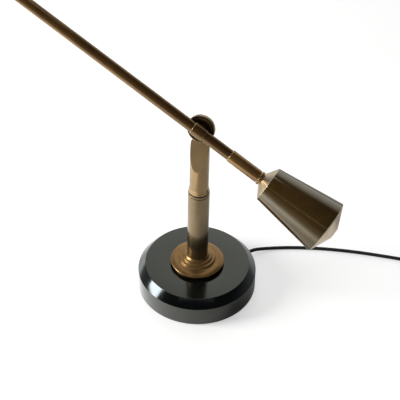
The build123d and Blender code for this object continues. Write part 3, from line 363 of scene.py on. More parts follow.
# Mains cord: from the gland down to the floor, along it, round the put-away coil and out to the plug
cordRoute = {
    "diameter": 5.0,
    "exitAngle": 54.0,
    "exitDistance": 89.0,
    "exitHeight": 7.0,
    "lead": 8.5,
    "run": [(67.6, 86.9, 4.9), (78.2, 93.6, 3.1), (91.2, 99.5, 2.6), (112.0, 107.1, 2.6),
            (150.0, 117.5, 2.6), (196.0, 125.7, 2.6), (236.0, 129.9, 2.6), (259.0, 131.4, 2.9),
            (279.0, 132.0, 3.7), (301.0, 132.0, 3.7)],
    "tail": [(311.0, 129.25, 20.2), (323.0, 129.25, 20.2), (337.0, 127.0, 15.5), (350.0, 124.5, 9.5),
             (363.0, 122.0, 7.0), (375.0, 119.7, 7.0)],
    "coilCentre": (306.0, 166.25, 3.7),
    "layerStep": 5.5,
    "halfTurns": [[34.25, 31.5, 28.75, 26.0], [23.25, 28.75, 31.5, 34.25], [37.0, 31.5, 28.75, 26.0],
                  [23.25, 28.75, 31.5, 34.25, 37.0]],
    "pointsPerHalfTurn": 8,
    "length": 1.85,
}


# Level direction in which the cord leaves the base
def cordHeading(route):
    angle = math.radians(route["exitAngle"])
    return np.array([math.cos(angle), math.sin(angle), 0.0])


# Half turns between the two sides of the coil. On one that starts at radius a and ends at radius b, the point
# at angle f is the middle of its ends + (a + b)/2 (sin f, -cos f), and it climbs by (1 - cos f)/2 of a layer's
# step. The control points stand a little outside that arc, so that the cord's line follows it.
def coilPoints(route):
    centre = np.array(route["coilCentre"])
    radii = np.concatenate(route["halfTurns"])
    layers = np.concatenate([[layer] * len(row) for layer, row in enumerate(route["halfTurns"])])
    count = route["pointsPerHalfTurn"]
    angle = np.linspace(0, math.pi, count, endpoint=False)
    outside = 1 / math.cos(math.pi / (2 * count))
    found = []
    for number, (start, end) in enumerate(zip(radii, radii[1:])):
        side = 1 if number % 2 == 0 else -1
        half = (start + end) / 2
        middle = side * (end - start) / 2
        climb = (layers[number + 1] - layers[number]) * (1 - np.cos(angle)) / 2
        x = centre[0] + side * half * outside * np.sin(angle)
        y = centre[1] + middle - side * half * outside * np.cos(angle)
        z = centre[2] + route["layerStep"] * (layers[number] + climb)
        found.append(np.stack([x, y, z], 1))
    last = centre + np.array([0, -radii[-1], route["layerStep"] * layers[-1]])
    return [*np.concatenate(found), last]


def makeCord(route):
    outward = cordHeading(route)
    start = outward * route["exitDistance"] + upAxis * route["exitHeight"]
    points = [start, start + outward * route["lead"], *map(np.array, route["run"]), *coilPoints(route),
              *map(np.array, route["tail"])]
    curve = bpy.data.curves.new("mains_cord", "CURVE")
    curve.dimensions = "3D"
    spline = curve.splines.new("NURBS")
    spline.points.add(len(points) - 1)
    flat = np.column_stack([np.array(points) * mm, np.ones(len(points))])
    spline.points.foreach_set("co", flat.ravel())
    spline.order_u = 3
    spline.use_endpoint_u = True
    spline.resolution_u = 6
    curve.bevel_depth = route["diameter"] * mm / 2
    curve.bevel_resolution = 3
    curve.use_fill_caps = True
    curve.materials.append(cordJacket)
    cord = bpy.data.objects.new("mains_cord", curve)
    bpy.context.scene.collection.objects.link(cord)
    return cord, start * mm


cord, cordExit = makeCord(cordRoute)
standFor(cord, "black_rubber", "cord_run", "cord_coil", "cord_tail")
print("cord laid")


# Mesh from a grid of points in millimetres: rows along the outline, columns round the axis, both closed. The
# corners' signed volume, a sum of triple products, shows whether the faces have to be turned outward.
def gridMesh(name, points, attributes):
    rows, columns = points.shape[:2]
    row, column = np.meshgrid(np.arange(rows), np.arange(columns), indexing="ij")
    nextRow, nextColumn = (row + 1) % rows, (column + 1) % columns
    ring = [row * columns + column, row * columns + nextColumn, nextRow * columns + nextColumn,
            nextRow * columns + column]
    faces = np.stack(ring, -1).reshape(-1, 4)
    corners = points.reshape(-1, 3) - points.reshape(-1, 3).mean(0)
    a, b, c, d = (corners[faces[:, place]] for place in range(4))
    volume = (np.cross(a, b) * c).sum() + (np.cross(a, c) * d).sum()
    if volume < 0:
        faces = faces[:, ::-1]
    mesh = bpy.data.meshes.new(name)
    mesh.from_pydata((points.reshape(-1, 3) * mm).tolist(), [], faces.tolist())
    for label, values in attributes.items():
        kind, field = ("FLOAT_VECTOR", "vector") if values.shape[-1] == 3 else ("FLOAT", "value")
        flat = values.ravel().astype(np.float32)
        mesh.attributes.new(label, kind, "POINT").data.foreach_set(field, flat)
    tidyMesh(mesh)
    return mesh


# Points closer than the gap, in millimetres, become one, and only edges sharper than the angle stay sharp
def tidyMesh(mesh, sharpAngle=30.0, gap=0.0002):
    work = bmesh.new()
    work.from_mesh(mesh)
    bmesh.ops.remove_doubles(work, verts=work.verts, dist=gap * mm)
    work.to_mesh(mesh)
    work.free()
    mesh.polygons.foreach_set("use_smooth", [True] * len(mesh.polygons))
    mesh.set_sharp_from_angle(angle=math.radians(sharpAngle))
    mesh.update()


def showMesh(name, mesh, *materials):
    for material in materials:
        mesh.materials.append(material)
    piece = bpy.data.objects.new(name, mesh)
    bpy.context.scene.collection.objects.link(piece)
    return piece


# Outer roundings smaller than this get the bright edge colour, partly wear and partly a painted highlight,
# in millimetres
wornSheenRounding = 1.3


# Closed outline with rounded corners. A corner is (radius, height) or (radius, height, rounding), and its arc
# is (a(1-t)^2 + 2wp t(1-t) + b t^2) / ((1-t)^2 + 2w t(1-t) + t^2), where a and b are its ends, p is the corner
# and w the sine of half the corner's angle. Roundings too large for the run between two corners share it. The
# third column is 1 along the middle of a small outer rounding and 0 elsewhere.
def roundedOutline(corners, edge, steps=6, runShare=0.96, tiny=1e-6):
    points = np.array([corner[:2] for corner in corners], float)
    rounds = np.array([corner[2] if len(corner) > 2 else edge for corner in corners], float)
    rounds[points[:, 0] < tiny] = 0
    before, after = np.roll(points, 1, 0) - points, np.roll(points, -1, 0) - points
    lengthBefore, lengthAfter = np.linalg.norm(before, axis=1), np.linalg.norm(after, axis=1)
    u, v = before / lengthBefore[:, None], after / lengthAfter[:, None]
    half = np.arccos(np.clip((u * v).sum(1), -1, 1)) / 2
    wanted = rounds / np.tan(half)
    fits = np.minimum(1.0, runShare * lengthAfter / np.maximum(wanted + np.roll(wanted, -1), tiny))
    reach = (wanted * np.minimum(fits, np.roll(fits, 1)))[:, None]
    t = np.linspace(0, 1, steps)[None, :, None]
    a, b, p = (points + u * reach)[:, None], (points + v * reach)[:, None], points[:, None]
    w = np.sin(half)[:, None, None]
    weights = (1 - t) ** 2 + 2 * w * t * (1 - t) + t ** 2
    arcs = (a * (1 - t) ** 2 + 2 * w * p * t * (1 - t) + b * t ** 2) / weights
    nextPoints = np.roll(points, -1, 0)
    area = (points[:, 0] * nextPoints[:, 1] - nextPoints[:, 0] * points[:, 1]).sum()
    bend = v[:, 0] * u[:, 1] - v[:, 1] * u[:, 0]
    outer = (bend * np.sign(area) > 0) & (rounds > 0) & (rounds < wornSheenRounding)
    wear = outer[:, None, None] * np.sin(math.pi * t)
    return np.concatenate([arcs, wear], 2).reshape(-1, 3)


# The outline with more points, so that no run is longer than the gap
def denser(outline, gap):
    closed = np.vstack([outline, outline[:1]])
    along = np.concatenate([[0], np.cumsum(np.linalg.norm(np.diff(closed[:, :2], axis=0), axis=1))])
    stations = np.unique(np.concatenate([along[:-1], np.arange(0, along[-1], gap)]))
    return np.stack([np.interp(stations, along, closed[:, column]) for column in range(3)], 1)


# Surface of revolution: the outline's point (r, h) at angle f is the centre + r cos f side + r sin f across +
# h axis. shape, where given, returns new radii and heights from the arrays of radius, height and angle.
def turnedMesh(name, corners, centre, axis, edge=0.15, around=144, gap=None, shape=None):
    outline = roundedOutline(corners, edge)
    if gap:
        outline = denser(outline, gap)
    upright = abs(axis[2]) > 0.9
    side = np.cross(axis, sideAxis if upright else upAxis)
    side = side / np.linalg.norm(side)
    across = np.cross(axis, side)
    angle = np.linspace(0, 2 * math.pi, around, endpoint=False)[None, :]
    radius, height = outline[:, 0][:, None], outline[:, 1][:, None]
    if shape:
        radius, height = shape(radius, height, angle)
    radius, height = (np.broadcast_to(values, (len(outline), around))[..., None] for values in (radius, height))
    radial = np.cos(angle)[..., None] * side + np.sin(angle)[..., None] * across
    points = centre + radius * radial + height * axis
    steps = np.linalg.norm(np.diff(outline[:, :2], axis=0), axis=1)
    along = np.concatenate([[0], np.cumsum(steps)])[:, None] * mm
    turnedAt = np.stack(np.broadcast_arrays(np.cos(angle), np.sin(angle), along), -1)
    edgeWearAndSheen = np.broadcast_to(outline[:, 2][:, None, None], (len(outline), around, 1))
    return gridMesh(name, points, {"turnedAt": turnedAt, "edgeWearAndSheen": edgeWearAndSheen})


def turnedPiece(name, corners, centre, axis, material, **settings):
    return showMesh(name, turnedMesh(name, corners, centre, axis, **settings), material)


# For each face of a turned piece: its middle's place along the axis and distance from it, and how much the face
# looks along the axis and outward, from -1 to 1
def facesAlong(mesh, centre, axis):
    normals, middles = (np.empty(len(mesh.polygons) * 3) for _ in range(2))
    mesh.polygons.foreach_get("normal", normals)
    mesh.polygons.foreach_get("center", middles)
    normals = normals.reshape(-1, 3)
    away = middles.reshape(-1, 3) / mm - centre
    along = away @ axis
    radial = away - along[:, None] * axis
    radius = np.linalg.norm(radial, axis=1)
    return {"along": along, "radius": radius, "facing": normals @ axis,
            "outward": (normals * radial).sum(1) / radius}


# The chosen faces take the piece's second finish
def finishFaces(mesh, chosen):
    mesh.polygons.foreach_set("material_index", chosen.astype(np.int32))


# Several surfaces as one piece
def joined(name, material, *meshes):
    work = bmesh.new()
    for mesh in meshes:
        work.from_mesh(mesh)
    whole = bpy.data.meshes.new(name)
    work.to_mesh(whole)
    work.free()
    for mesh in meshes:
        bpy.data.meshes.remove(mesh)
    return showMesh(name, whole, material)


# A copy of a CAD node with its loose triangles merged and shaded smooth
def smoothCopy(name, node, material, sharpAngle=24.0):
    mesh = nodes[node].data.copy()
    mesh.name = name
    if "custom_normal" in mesh.attributes:
        mesh.attributes.remove(mesh.attributes["custom_normal"])
    mesh.materials.clear()
    tidyMesh(mesh, sharpAngle)
    return showMesh(name, mesh, material)


# Edges sharper than the angle get a narrow rounding in a second, brighter finish: partly wear where handling
# has rubbed them, partly a painted highlight on the edges
def rubSheenEdges(piece, material, width, angle=20.0):
    piece.data.materials.append(material)
    rounding = piece.modifiers.new("rubbedSheenEdges", "BEVEL")
    rounding.width = width * mm
    rounding.segments = 2
    rounding.limit_method = "ANGLE"
    rounding.angle_limit = math.radians(angle)
    rounding.use_clamp_overlap = True
    rounding.material = 1


# Cast base: a round block with a chamfered rim, hollow underneath. Faces that look both up and outward by more
# than chamferFacing are the chamfer.
castBase = {"radius": 80.0, "bottom": 1.0, "top": 40.0, "chamferWidth": 9.7, "chamferHeight": 11.3,
            "rimRound": 0.8, "padRecess": 76.3, "padTop": 2.0, "plateRecess": 58.3, "plateTop": 4.0,
            "cavity": 48.0, "cavityTop": 24.0, "hole": 5.05, "chamferFacing": 0.15}


def makeCastBase(size):
    corners = [
        (size["padRecess"], size["bottom"]),
        (size["radius"], size["bottom"], size["rimRound"]),
        (size["radius"], size["top"] - size["chamferHeight"], size["rimRound"]),
        (size["radius"] - size["chamferWidth"], size["top"], size["rimRound"]),
        (size["hole"], size["top"]),
        (size["hole"], size["cavityTop"]),
        (size["cavity"], size["cavityTop"]),
        (size["cavity"], size["plateTop"]),
        (size["plateRecess"], size["plateTop"]),
        (size["plateRecess"], size["padTop"]),
        (size["padRecess"], size["padTop"]),
    ]
    mesh = turnedMesh("base_casting", corners, origin, upAxis, around=256)
    faces = facesAlong(mesh, origin, upAxis)
    finishFaces(mesh, np.minimum(faces["outward"], faces["facing"]) > size["chamferFacing"])
    standFor(showMesh("base_casting", mesh, basePaint, chamferPaint), "painted_iron", "base_body")


# Rosette: a flange on a narrower foot, a low dome, two round rings and a short cone up to the stem
rosette = {"bottom": 40.0, "foot": 33.0, "footTop": 43.8, "radius": 36.0, "underRound": 0.6, "edgeTop": 45.8,
           "edgeRound": 0.8, "domeCorner": 31.0, "domeCornerTop": 48.0, "domeRound": 16.0, "domeTop": 48.3,
           "ringOne": 24.4, "ringOneTop": 51.3, "ringOneRound": 2.6, "ringTwo": 20.0, "ringTwoTop": 54.4,
           "ringTwoRound": 2.2, "fillet": 1.9, "cone": 17.2, "coneRound": 1.2, "coneTop": 14.7,
           "coneTopRound": 0.3, "top": 57.0, "hole": 5.05}


def makeRosette(size):
    corners = [
        (size["hole"], size["bottom"]),
        (size["foot"], size["bottom"]),
        (size["foot"], size["footTop"]),
        (size["radius"], size["footTop"], size["underRound"]),
        (size["radius"], size["edgeTop"], size["edgeRound"]),
        (size["domeCorner"], size["domeCornerTop"], size["domeRound"]),
        (size["ringOne"], size["domeTop"], size["fillet"]),
        (size["ringOne"], size["ringOneTop"], size["ringOneRound"]),
        (size["ringTwo"], size["ringOneTop"], size["fillet"]),
        (size["ringTwo"], size["ringTwoTop"], size["ringTwoRound"]),
        (size["cone"], size["ringTwoTop"], size["coneRound"]),
        (size["coneTop"], size["top"], size["coneTopRound"]),
        (size["hole"], size["top"]),
    ]
    piece = turnedPiece("stem_rosette", corners, origin, upAxis, rosetteBrass, around=200)
    standFor(piece, "antique_brass", "base_rosette")


# Lower stem, the ring above it with its thin groove painted dark as shade, and the dark washer of the swivel
stem = {"radius": 14.2, "bore": 11.7, "foot": 57.0, "footRound": 0.2, "top": 165.0, "groove": 13.2,
        "grooveTop": 165.8, "grooveMargin": 0.1, "boreMargin": 0.5, "collarTop": 168.95, "edgeRound": 0.3,
        "washerBottom": 169.0, "washerTop": 170.8, "washer": 13.3, "washerBore": 9.05, "softEdge": 0.05,
        "rubbedSheenEdge": 0.7}


def makeStem(size):
    tube = [(size["bore"], size["foot"]), (size["radius"], size["foot"], size["footRound"]),
            (size["radius"], size["top"], size["edgeRound"]), (size["bore"], size["top"])]
    piece = turnedPiece("stem_lower", tube, origin, upAxis, stemBrass)
    standFor(piece, "antique_brass", "lower_stem")
    collar = [(size["bore"], size["top"]), (size["groove"], size["top"]), (size["groove"], size["grooveTop"]),
              (size["radius"], size["grooveTop"], size["edgeRound"]),
              (size["radius"], size["collarTop"], size["edgeRound"]), (size["bore"], size["collarTop"])]
    mesh = turnedMesh("stem_collar", collar, origin, upAxis, edge=size["softEdge"])
    # The faces in and beside the ring's groove take the dark fibre finish: painted shade in the groove
    faces = facesAlong(mesh, origin, upAxis)
    low = faces["along"] < size["grooveTop"] + size["grooveMargin"]
    finishFaces(mesh, low & (faces["radius"] > size["bore"] + size["boreMargin"]))
    standFor(showMesh("stem_collar", mesh, stemBrass, fibre), "antique_brass", "collar_ring")
    washer = [(size["washerBore"], size["washerBottom"]), (size["washer"], size["washerBottom"]),
              (size["washer"], size["washerTop"]), (size["washerBore"], size["washerTop"])]
    piece = turnedPiece("stem_seam_washer", washer, origin, upAxis, fibre, edge=size["softEdge"])
    standFor(piece, "dark_fibre", "swivel_washer")
    piece = smoothCopy("stem_upper", "upper_stem", upperStemBrass)
    # The milled face's edges take the brighter sleeve brass, partly a painted highlight
    rubSheenEdges(piece, sleeveBrass, size["rubbedSheenEdge"])
    standFor(piece, "antique_brass", "upper_stem")


# Friction disc with a fine groove, and the washer behind it. Heights are from the disc's front.
joint = {"disc": 18.2, "discDepth": 5.0, "bevel": 0.9, "backRound": 0.4, "bevelRound": 0.25,
         "grooveInner": 14.2, "grooveOuter": 15.0, "grooveDepth": 0.5, "grooveRound": 0.12, "hole": 5.05,
         "grooveMargin": 0.3, "flatFacing": 0.9, "rimMargin": 1.0, "rimOutward": 0.3, "washer": 13.0,
         "washerFront": 5.05, "washerBack": 6.25}


def makeJoint(size):
    disc = [(size["hole"], -size["discDepth"]), (size["disc"], -size["discDepth"], size["backRound"]),
            (size["disc"], -size["bevel"], size["bevelRound"]),
            (size["disc"] - size["bevel"], 0.0, size["bevelRound"]),
            (size["grooveOuter"], 0.0, size["grooveRound"]), (size["grooveOuter"], -size["grooveDepth"]),
            (size["grooveInner"], -size["grooveDepth"]), (size["grooveInner"], 0.0, size["grooveRound"]),
            (size["hole"], 0.0)]
    mesh = turnedMesh("friction_disc", disc, jointCentre, tiltAxis)
    faces = facesAlong(mesh, jointCentre, tiltAxis)
    radius = faces["radius"]
    # The rim and the groove's walls take the paler rim brass: a painted highlight on the disc's edges
    nearGroove = ((radius > size["grooveInner"] - size["grooveMargin"])
                  & (radius < size["grooveOuter"] + size["grooveMargin"]))
    rim = (faces["outward"] > size["rimOutward"]) & (radius > size["grooveOuter"] + size["rimMargin"])
    finishFaces(mesh, (nearGroove & (faces["facing"] < size["flatFacing"])) | rim)
    standFor(showMesh("friction_disc", mesh, discBrass, rimHighlightBrass), "antique_brass", "joint_disc")
    washer = [(size["hole"], -size["washerBack"]), (size["washer"], -size["washerBack"]),
              (size["washer"], -size["washerFront"]), (size["hole"], -size["washerFront"])]
    piece = turnedPiece("friction_washer", washer, jointCentre, tiltAxis, fibre)
    standFor(piece, "dark_fibre", "joint_washer")


# Saddle: a short barrel round the arm and a foot that stands on the disc
saddle = {"radius": 8.3, "bore": 7.15, "front": -8.5, "back": 9.5, "edgeRound": 0.8, "foot": 7.2,
          "footHole": 2.6, "footOverlap": 0.4}


# The foot's outline is 1 high, and its top follows the barrel: its height is the arm's height + overlap - the
# root of (barrel radius squared - distance across the arm squared)
def makeSaddle(size):
    def followBarrel(radius, height, angle):
        acrossArm = radius * np.sin(angle - armPitch)
        under = armHeight - np.sqrt(size["radius"] ** 2 - acrossArm ** 2) + size["footOverlap"]
        return radius, height * under

    barrel = [(size["bore"], size["front"]), (size["radius"], size["front"], size["edgeRound"]),
              (size["radius"], size["back"], size["edgeRound"]), (size["bore"], size["back"])]
    foot = [(size["footHole"], 0.0), (size["foot"], 0.0), (size["foot"], 1.0), (size["footHole"], 1.0)]
    barrelMesh = turnedMesh("saddleBarrel", barrel, armCentre, armAxis)
    footMesh = turnedMesh("saddleFoot", foot, jointCentre, tiltAxis, edge=0.0, shape=followBarrel)
    standFor(joined("arm_clamp", armBrass, barrelMesh, footMesh), "antique_brass", "arm_saddle")


# Arm tube, the sleeve ahead of the counterweight and the neck ring, with heights from the joint along the arm
arm = {"radius": 7.1, "bore": 5.9, "front": -600.0, "back": 75.0, "tubeRound": 0.3, "sleeve": 8.25,
       "sleeveBore": 7.15, "sleeveStart": 49.6, "sleeveEnd": 94.0, "sleeveRound": 0.6, "webStart": 75.05,
       "stud": 4.05, "hub": 7.0, "ringStart": 94.7, "ring": 8.9, "ringEnd": 98.5, "ringRound": 0.5,
       "neckEnd": 99.2}


def makeArm(size):
    tube = [(size["bore"], size["front"]), (size["radius"], size["front"], size["tubeRound"]),
            (size["radius"], size["back"], size["tubeRound"]), (size["bore"], size["back"])]
    piece = turnedPiece("arm_long_tube", tube, armCentre, armAxis, armBrass)
    standFor(piece, "antique_brass", "arm_tube")
    sleeve = [(size["sleeveBore"], size["sleeveStart"]),
              (size["sleeve"], size["sleeveStart"], size["sleeveRound"]),
              (size["sleeve"], size["sleeveEnd"], size["sleeveRound"]), (size["stud"], size["sleeveEnd"]),
              (size["stud"], size["webStart"]), (size["sleeveBore"], size["webStart"])]
    piece = turnedPiece("arm_stepped_sleeve", sleeve, armCentre, armAxis, sleeveBrass)
    standFor(piece, "antique_brass", "arm_sleeve")
    ring = [(size["stud"], size["sleeveEnd"]), (size["hub"], size["sleeveEnd"]),
            (size["hub"], size["ringStart"]), (size["ring"], size["ringStart"], size["ringRound"]),
            (size["ring"], size["ringEnd"], size["ringRound"]), (size["hub"], size["ringEnd"]),
            (size["hub"], size["neckEnd"]), (size["stud"], size["neckEnd"])]
    piece = turnedPiece("arm_neck_ring", ring, armCentre, armAxis, sleeveBrass)
    standFor(piece, "antique_brass", "neck_ring")


# Counterweight: a cone with a blunt nose, closed by a shallow cap, with heights from the joint along the arm
weight = {"nose": 8.7, "noseEnd": 99.2, "noseRound": 0.4, "front": 23.6, "frontAt": 108.7, "back": 36.2,
          "backAt": 199.0, "edgeRound": 0.6, "wall": 3.0, "faceWall": 3.5, "innerRound": 0.05, "hole": 4.05,
          "capRound": 0.4, "capTip": 8.4, "capTipRound": 0.6, "capEnd": 211.5, "spigot": 6.0, "gap": 0.3,
          "screwHole": 2.55, "headHole": 4.25, "headDepth": 1.6}


def makeCounterweight(size):
    growth = (size["back"] - size["front"]) / (size["backAt"] - size["frontAt"])
    inside = size["frontAt"] + size["faceWall"]
    insideFront = size["front"] + growth * size["faceWall"] - size["wall"]
    insideBack = size["back"] - size["wall"]
    body = [(size["hole"], size["noseEnd"]), (size["nose"], size["noseEnd"], size["noseRound"]),
            (size["front"], size["frontAt"], size["edgeRound"]),
            (size["back"], size["backAt"], size["edgeRound"]),
            (insideBack, size["backAt"], size["innerRound"]), (insideFront, inside), (size["hole"], inside)]
    mesh = turnedMesh("weight_cone", body, armCentre, armAxis, around=220)
    faces = facesAlong(mesh, armCentre, armAxis)
    finishFaces(mesh, (faces["along"] < size["frontAt"]) & (faces["facing"] < 0.0))
    standFor(showMesh("weight_cone", mesh, weightBronze, capBrass), "antique_brass", "counterweight_body")
    seat = size["backAt"] - size["spigot"]
    insideSeat = insideBack - growth * size["spigot"]
    headSeat = size["capEnd"] - size["headDepth"]
    cap = [(size["screwHole"], seat), (insideSeat - size["gap"], seat),
           (insideBack - size["gap"], size["backAt"], size["innerRound"]),
           (size["back"], size["backAt"], size["capRound"]),
           (size["capTip"], size["capEnd"], size["capTipRound"]), (size["headHole"], size["capEnd"]),
           (size["headHole"], headSeat), (size["screwHole"], headSeat)]
    piece = turnedPiece("weight_cap", cap, armCentre, armAxis, capBrass, around=220)
    standFor(piece, "antique_brass", "counterweight_cap")
    standFor(smoothCopy("weight_cap_screw", "cap_screw", steel), "bright_steel", "cap_screw")


# Shade: a flared shell with a rolled lip, with heights down from the shade's pin
shade = {"shellTop": 73.0, "shellBottom": 173.0, "topRadius": 24.5, "topRound": 0.8, "bottomRadius": 60.0,
         "mouthRound": 0.3, "wall": 1.2, "hole": 13.95, "lip": 1.0, "lipRound": 0.6, "lipTopRound": 0.5,
         "lipStep": 0.7, "lipStepRound": 0.3, "insideOutward": -0.1, "flatFacing": 0.9, "plateMargin": 1.0}


def makeShell(size):
    height = size["shellBottom"] - size["shellTop"]
    flare = size["bottomRadius"] - size["topRadius"]
    sideWall = size["wall"] * math.hypot(height, flare) / height
    growth = flare / height
    plate = size["shellTop"] + size["wall"]
    lipTop = size["shellBottom"] - 2 * size["lip"]
    lipInside = size["bottomRadius"] - sideWall - size["lip"]
    outline = [(size["hole"], size["shellTop"]), (size["topRadius"], size["shellTop"], size["topRound"]),
               (size["bottomRadius"], size["shellBottom"], size["mouthRound"]),
               (lipInside, size["shellBottom"], size["lipRound"]), (lipInside, lipTop, size["lipTopRound"]),
               (lipInside + size["lipStep"], lipTop - size["lipStep"], size["lipStepRound"]),
               (size["topRadius"] + growth * size["wall"] - sideWall, plate), (size["hole"], plate)]
    mesh = turnedMesh("shade_flare", outline, shadePin, -riseAxis, around=220)
    faces = facesAlong(mesh, shadePin, -riseAxis)
    underPlate = (faces["facing"] > size["flatFacing"]) & (faces["along"] < plate + size["plateMargin"])
    finishFaces(mesh, (faces["outward"] < size["insideOutward"]) | underPlate)
    standFor(showMesh("shade_flare", mesh, armBrass, innerBrass), "antique_brass", "shade_shell")


# Ribs round a piece: outside the given radius, a radius loses depth times (1 - cos(count times angle)) / 2
def ribbed(count, depth, outside):
    def shape(radius, height, angle):
        return radius - (radius > outside) * depth * (1 - np.cos(count * angle)) / 2, height
    return shape


# Thread: outside the given radius and between two heights, a radius loses depth times (1 - cos(turn)) / 2,
# where turn is 2 pi height / step - angle
def threaded(step, depth, outside, start, end):
    def shape(radius, height, angle):
        cut = (radius > outside) & (height > start) & (height < end)
        return radius - cut * depth * (1 - np.cos(2 * math.pi * height / step - angle)) / 2, height
    return shape


# Ribbed ring that holds the shade on the lampholder, with heights down from the shade's pin
holderRing = {"radius": 18.0, "bore": 13.95, "top": 74.2, "bottom": 80.2, "edgeRound": 0.5, "ribs": 36,
              "ribDepth": 0.7, "ribInset": 1.0}


def makeHolderRing(size):
    outline = [(size["bore"], size["top"]), (size["radius"], size["top"], size["edgeRound"]),
               (size["radius"], size["bottom"], size["edgeRound"]), (size["bore"], size["bottom"])]
    ribs = ribbed(size["ribs"], size["ribDepth"], size["bore"] + size["ribInset"])
    piece = turnedPiece("bulb_holder_ring", outline, shadePin, -riseAxis, porcelain, around=360, shape=ribs)
    standFor(piece, "cream_plastic", "lampholder_ring")


# Threaded cap of the bulb, with heights down from the shade's pin
bulbThread = {"radius": 6.95, "tipRadius": 2.8, "tip": 89.0, "tipRound": 0.3, "tipEnd": 92.0,
              "shoulderRound": 0.5, "end": 115.0, "step": 2.82, "depth": 0.6, "threadInset": 1.0,
              "threadStart": 93.5, "threadEnd": 112.0, "longestRun": 0.35}


def makeBulbThread(size):
    outline = [(0.0, size["tip"]), (size["tipRadius"], size["tip"], size["tipRound"]),
               (size["radius"], size["tipEnd"], size["shoulderRound"]), (size["radius"], size["end"]),
               (0.0, size["end"])]
    outside = size["tipRadius"] + size["threadInset"]
    thread = threaded(size["step"], size["depth"], outside, size["threadStart"], size["threadEnd"])
    piece = turnedPiece("bulb_thread", outline, shadePin, -riseAxis, steel, around=96,
                        gap=size["longestRun"], shape=thread)
    standFor(piece, "bright_steel", "bulb_cap")


# Ribbed nut of the switch. Its drop is down from the shade's pin, and its heights go out from the shade's axis.
switchRing = {"drop": 60.0, "radius": 6.1, "bore": 4.95, "front": 23.2, "back": 25.2, "edgeRound": 0.3,
              "ribs": 40, "ribDepth": 0.3, "ribInset": 0.4}


def makeSwitchRing(size):
    outline = [(size["bore"], size["front"]), (size["radius"], size["front"], size["edgeRound"]),
               (size["radius"], size["back"], size["edgeRound"]), (size["bore"], size["back"])]
    centre = shadePin - riseAxis * size["drop"]
    ribs = ribbed(size["ribs"], size["ribDepth"], size["bore"] + size["ribInset"])
    piece = turnedPiece("switch_collar", outline, centre, tiltAxis, steel, around=320, shape=ribs)
    standFor(piece, "bright_steel", "switch_ring")


# Tapered cord gland with grooves round it, with heights out from the base's axis
gland = {"bore": 2.55, "body": 4.2, "start": 61.8, "base": 80.0, "flange": 6.0, "flangeEnd": 82.0,
         "flangeRound": 0.6, "taper": 4.8, "tip": 3.4, "tipRound": 0.3, "grooves": 3, "firstGroove": 83.2,
         "grooveStep": 1.8, "grooveWidth": 0.8, "grooveDepth": 0.5, "grooveRound": 0.15, "floorRound": 0.1}


def makeGland(size, route):
    end = route["exitDistance"]
    outline = [(size["bore"], size["start"]), (size["body"], size["start"]), (size["body"], size["base"]),
               (size["flange"], size["base"]), (size["flange"], size["flangeEnd"], size["flangeRound"]),
               (size["taper"], size["flangeEnd"])]
    narrowing = (size["taper"] - size["tip"]) / (end - size["flangeEnd"])
    for number in range(size["grooves"]):
        near = size["firstGroove"] + number * size["grooveStep"]
        far = near + size["grooveWidth"]
        nearRadius = size["taper"] - narrowing * (near - size["flangeEnd"])
        farRadius = size["taper"] - narrowing * (far - size["flangeEnd"])
        outline += [(nearRadius, near, size["grooveRound"]),
                    (nearRadius - size["grooveDepth"], near, size["floorRound"]),
                    (farRadius - size["grooveDepth"], far, size["floorRound"]),
                    (farRadius, far, size["grooveRound"])]
    outline += [(size["tip"], end, size["tipRound"]), (size["bore"], end)]
    piece = turnedPiece("gland", outline, upAxis * route["exitHeight"], cordHeading(route), plugPlastic)
    standFor(piece, "black_rubber", "cord_gland")


makeCastBase(castBase)
makeRosette(rosette)
makeStem(stem)
makeJoint(joint)
makeSaddle(saddle)
makeArm(arm)
makeCounterweight(weight)
makeShell(shade)
makeHolderRing(holderRing)
makeBulbThread(bulbThread)
makeSwitchRing(switchRing)
makeGland(gland, cordRoute)
print("main pieces made")

# Fittings whose CAD shape is right, as merged copies: piece, node, finish, slot
fittings = [
    ("arm_knuckle", "arm_end_knuckle", armBrassPlain, "antique_brass"),
    ("shade_neck", "shade_knuckle", armBrassPlain, "antique_brass"),
    ("shade_top", "shade_cap", armBrassPlain, "antique_brass"),
    ("knuckle_pin", "knuckle_screw", steel, "bright_steel"),
    ("knuckle_pin_nut", "knuckle_nut", steel, "bright_steel"),
    ("knuckle_seam_washer", "knuckle_washer", fibre, "dark_fibre"),
    ("joint_nut", "pivot_nut", steel, "bright_steel"),
    ("joint_nut_washer", "pivot_washer", steel, "bright_steel"),
    ("joint_spring", "pivot_spring_washer", steel, "bright_steel"),
    ("joint_stud", "pivot_stud", steel, "bright_steel"),
    ("bulb_holder", "lampholder", porcelain, "cream_plastic"),
    ("bulb_bowl", "bulb_glass", opalGlass, "opal_glass"),
    ("switch_case", "switch_body", plugPlastic, "black_plastic"),
    ("switch_plunger_cap", "switch_button", steel, "bright_steel"),
    ("plug_shell", "plug_body", plugPlastic, "black_rubber"),
    ("plug_prongs", "plug_pins", steel, "bright_steel"),
    ("coil_band", "coil_tie", plugPlastic, "black_rubber"),
    ("foot_pad", "base_pad", padFelt, "dark_fibre"),
]
fitted = {}
for pieceName, node, material, slotName in fittings:
    fitted[pieceName] = smoothCopy(pieceName, node, material)
    standFor(fitted[pieceName], slotName, node)

# CAD nodes inside the lamp keep their meshes and get the same finishes
inside = {
    steel: ["base_plate", "base_plate_screws", "stem_nut", "stem_washer", "spigot_retaining_ring",
            "swivel_stop_pin", "weight_stud", "counterweight_core", "nipple_nut", "cord_clamp"],
    armBrassPlain: ["stem_nipple", "stem_foot_plug", "swivel_bush", "shade_nipple"],
    porcelain: ["terminal_block"],
    cordJacket: ["mains_tail", "stem_lead", "arm_lead"],
}
for material, names in inside.items():
    for name in names:
        nodes[name].data.materials.clear()
        nodes[name].data.materials.append(material)
print("fittings finished")
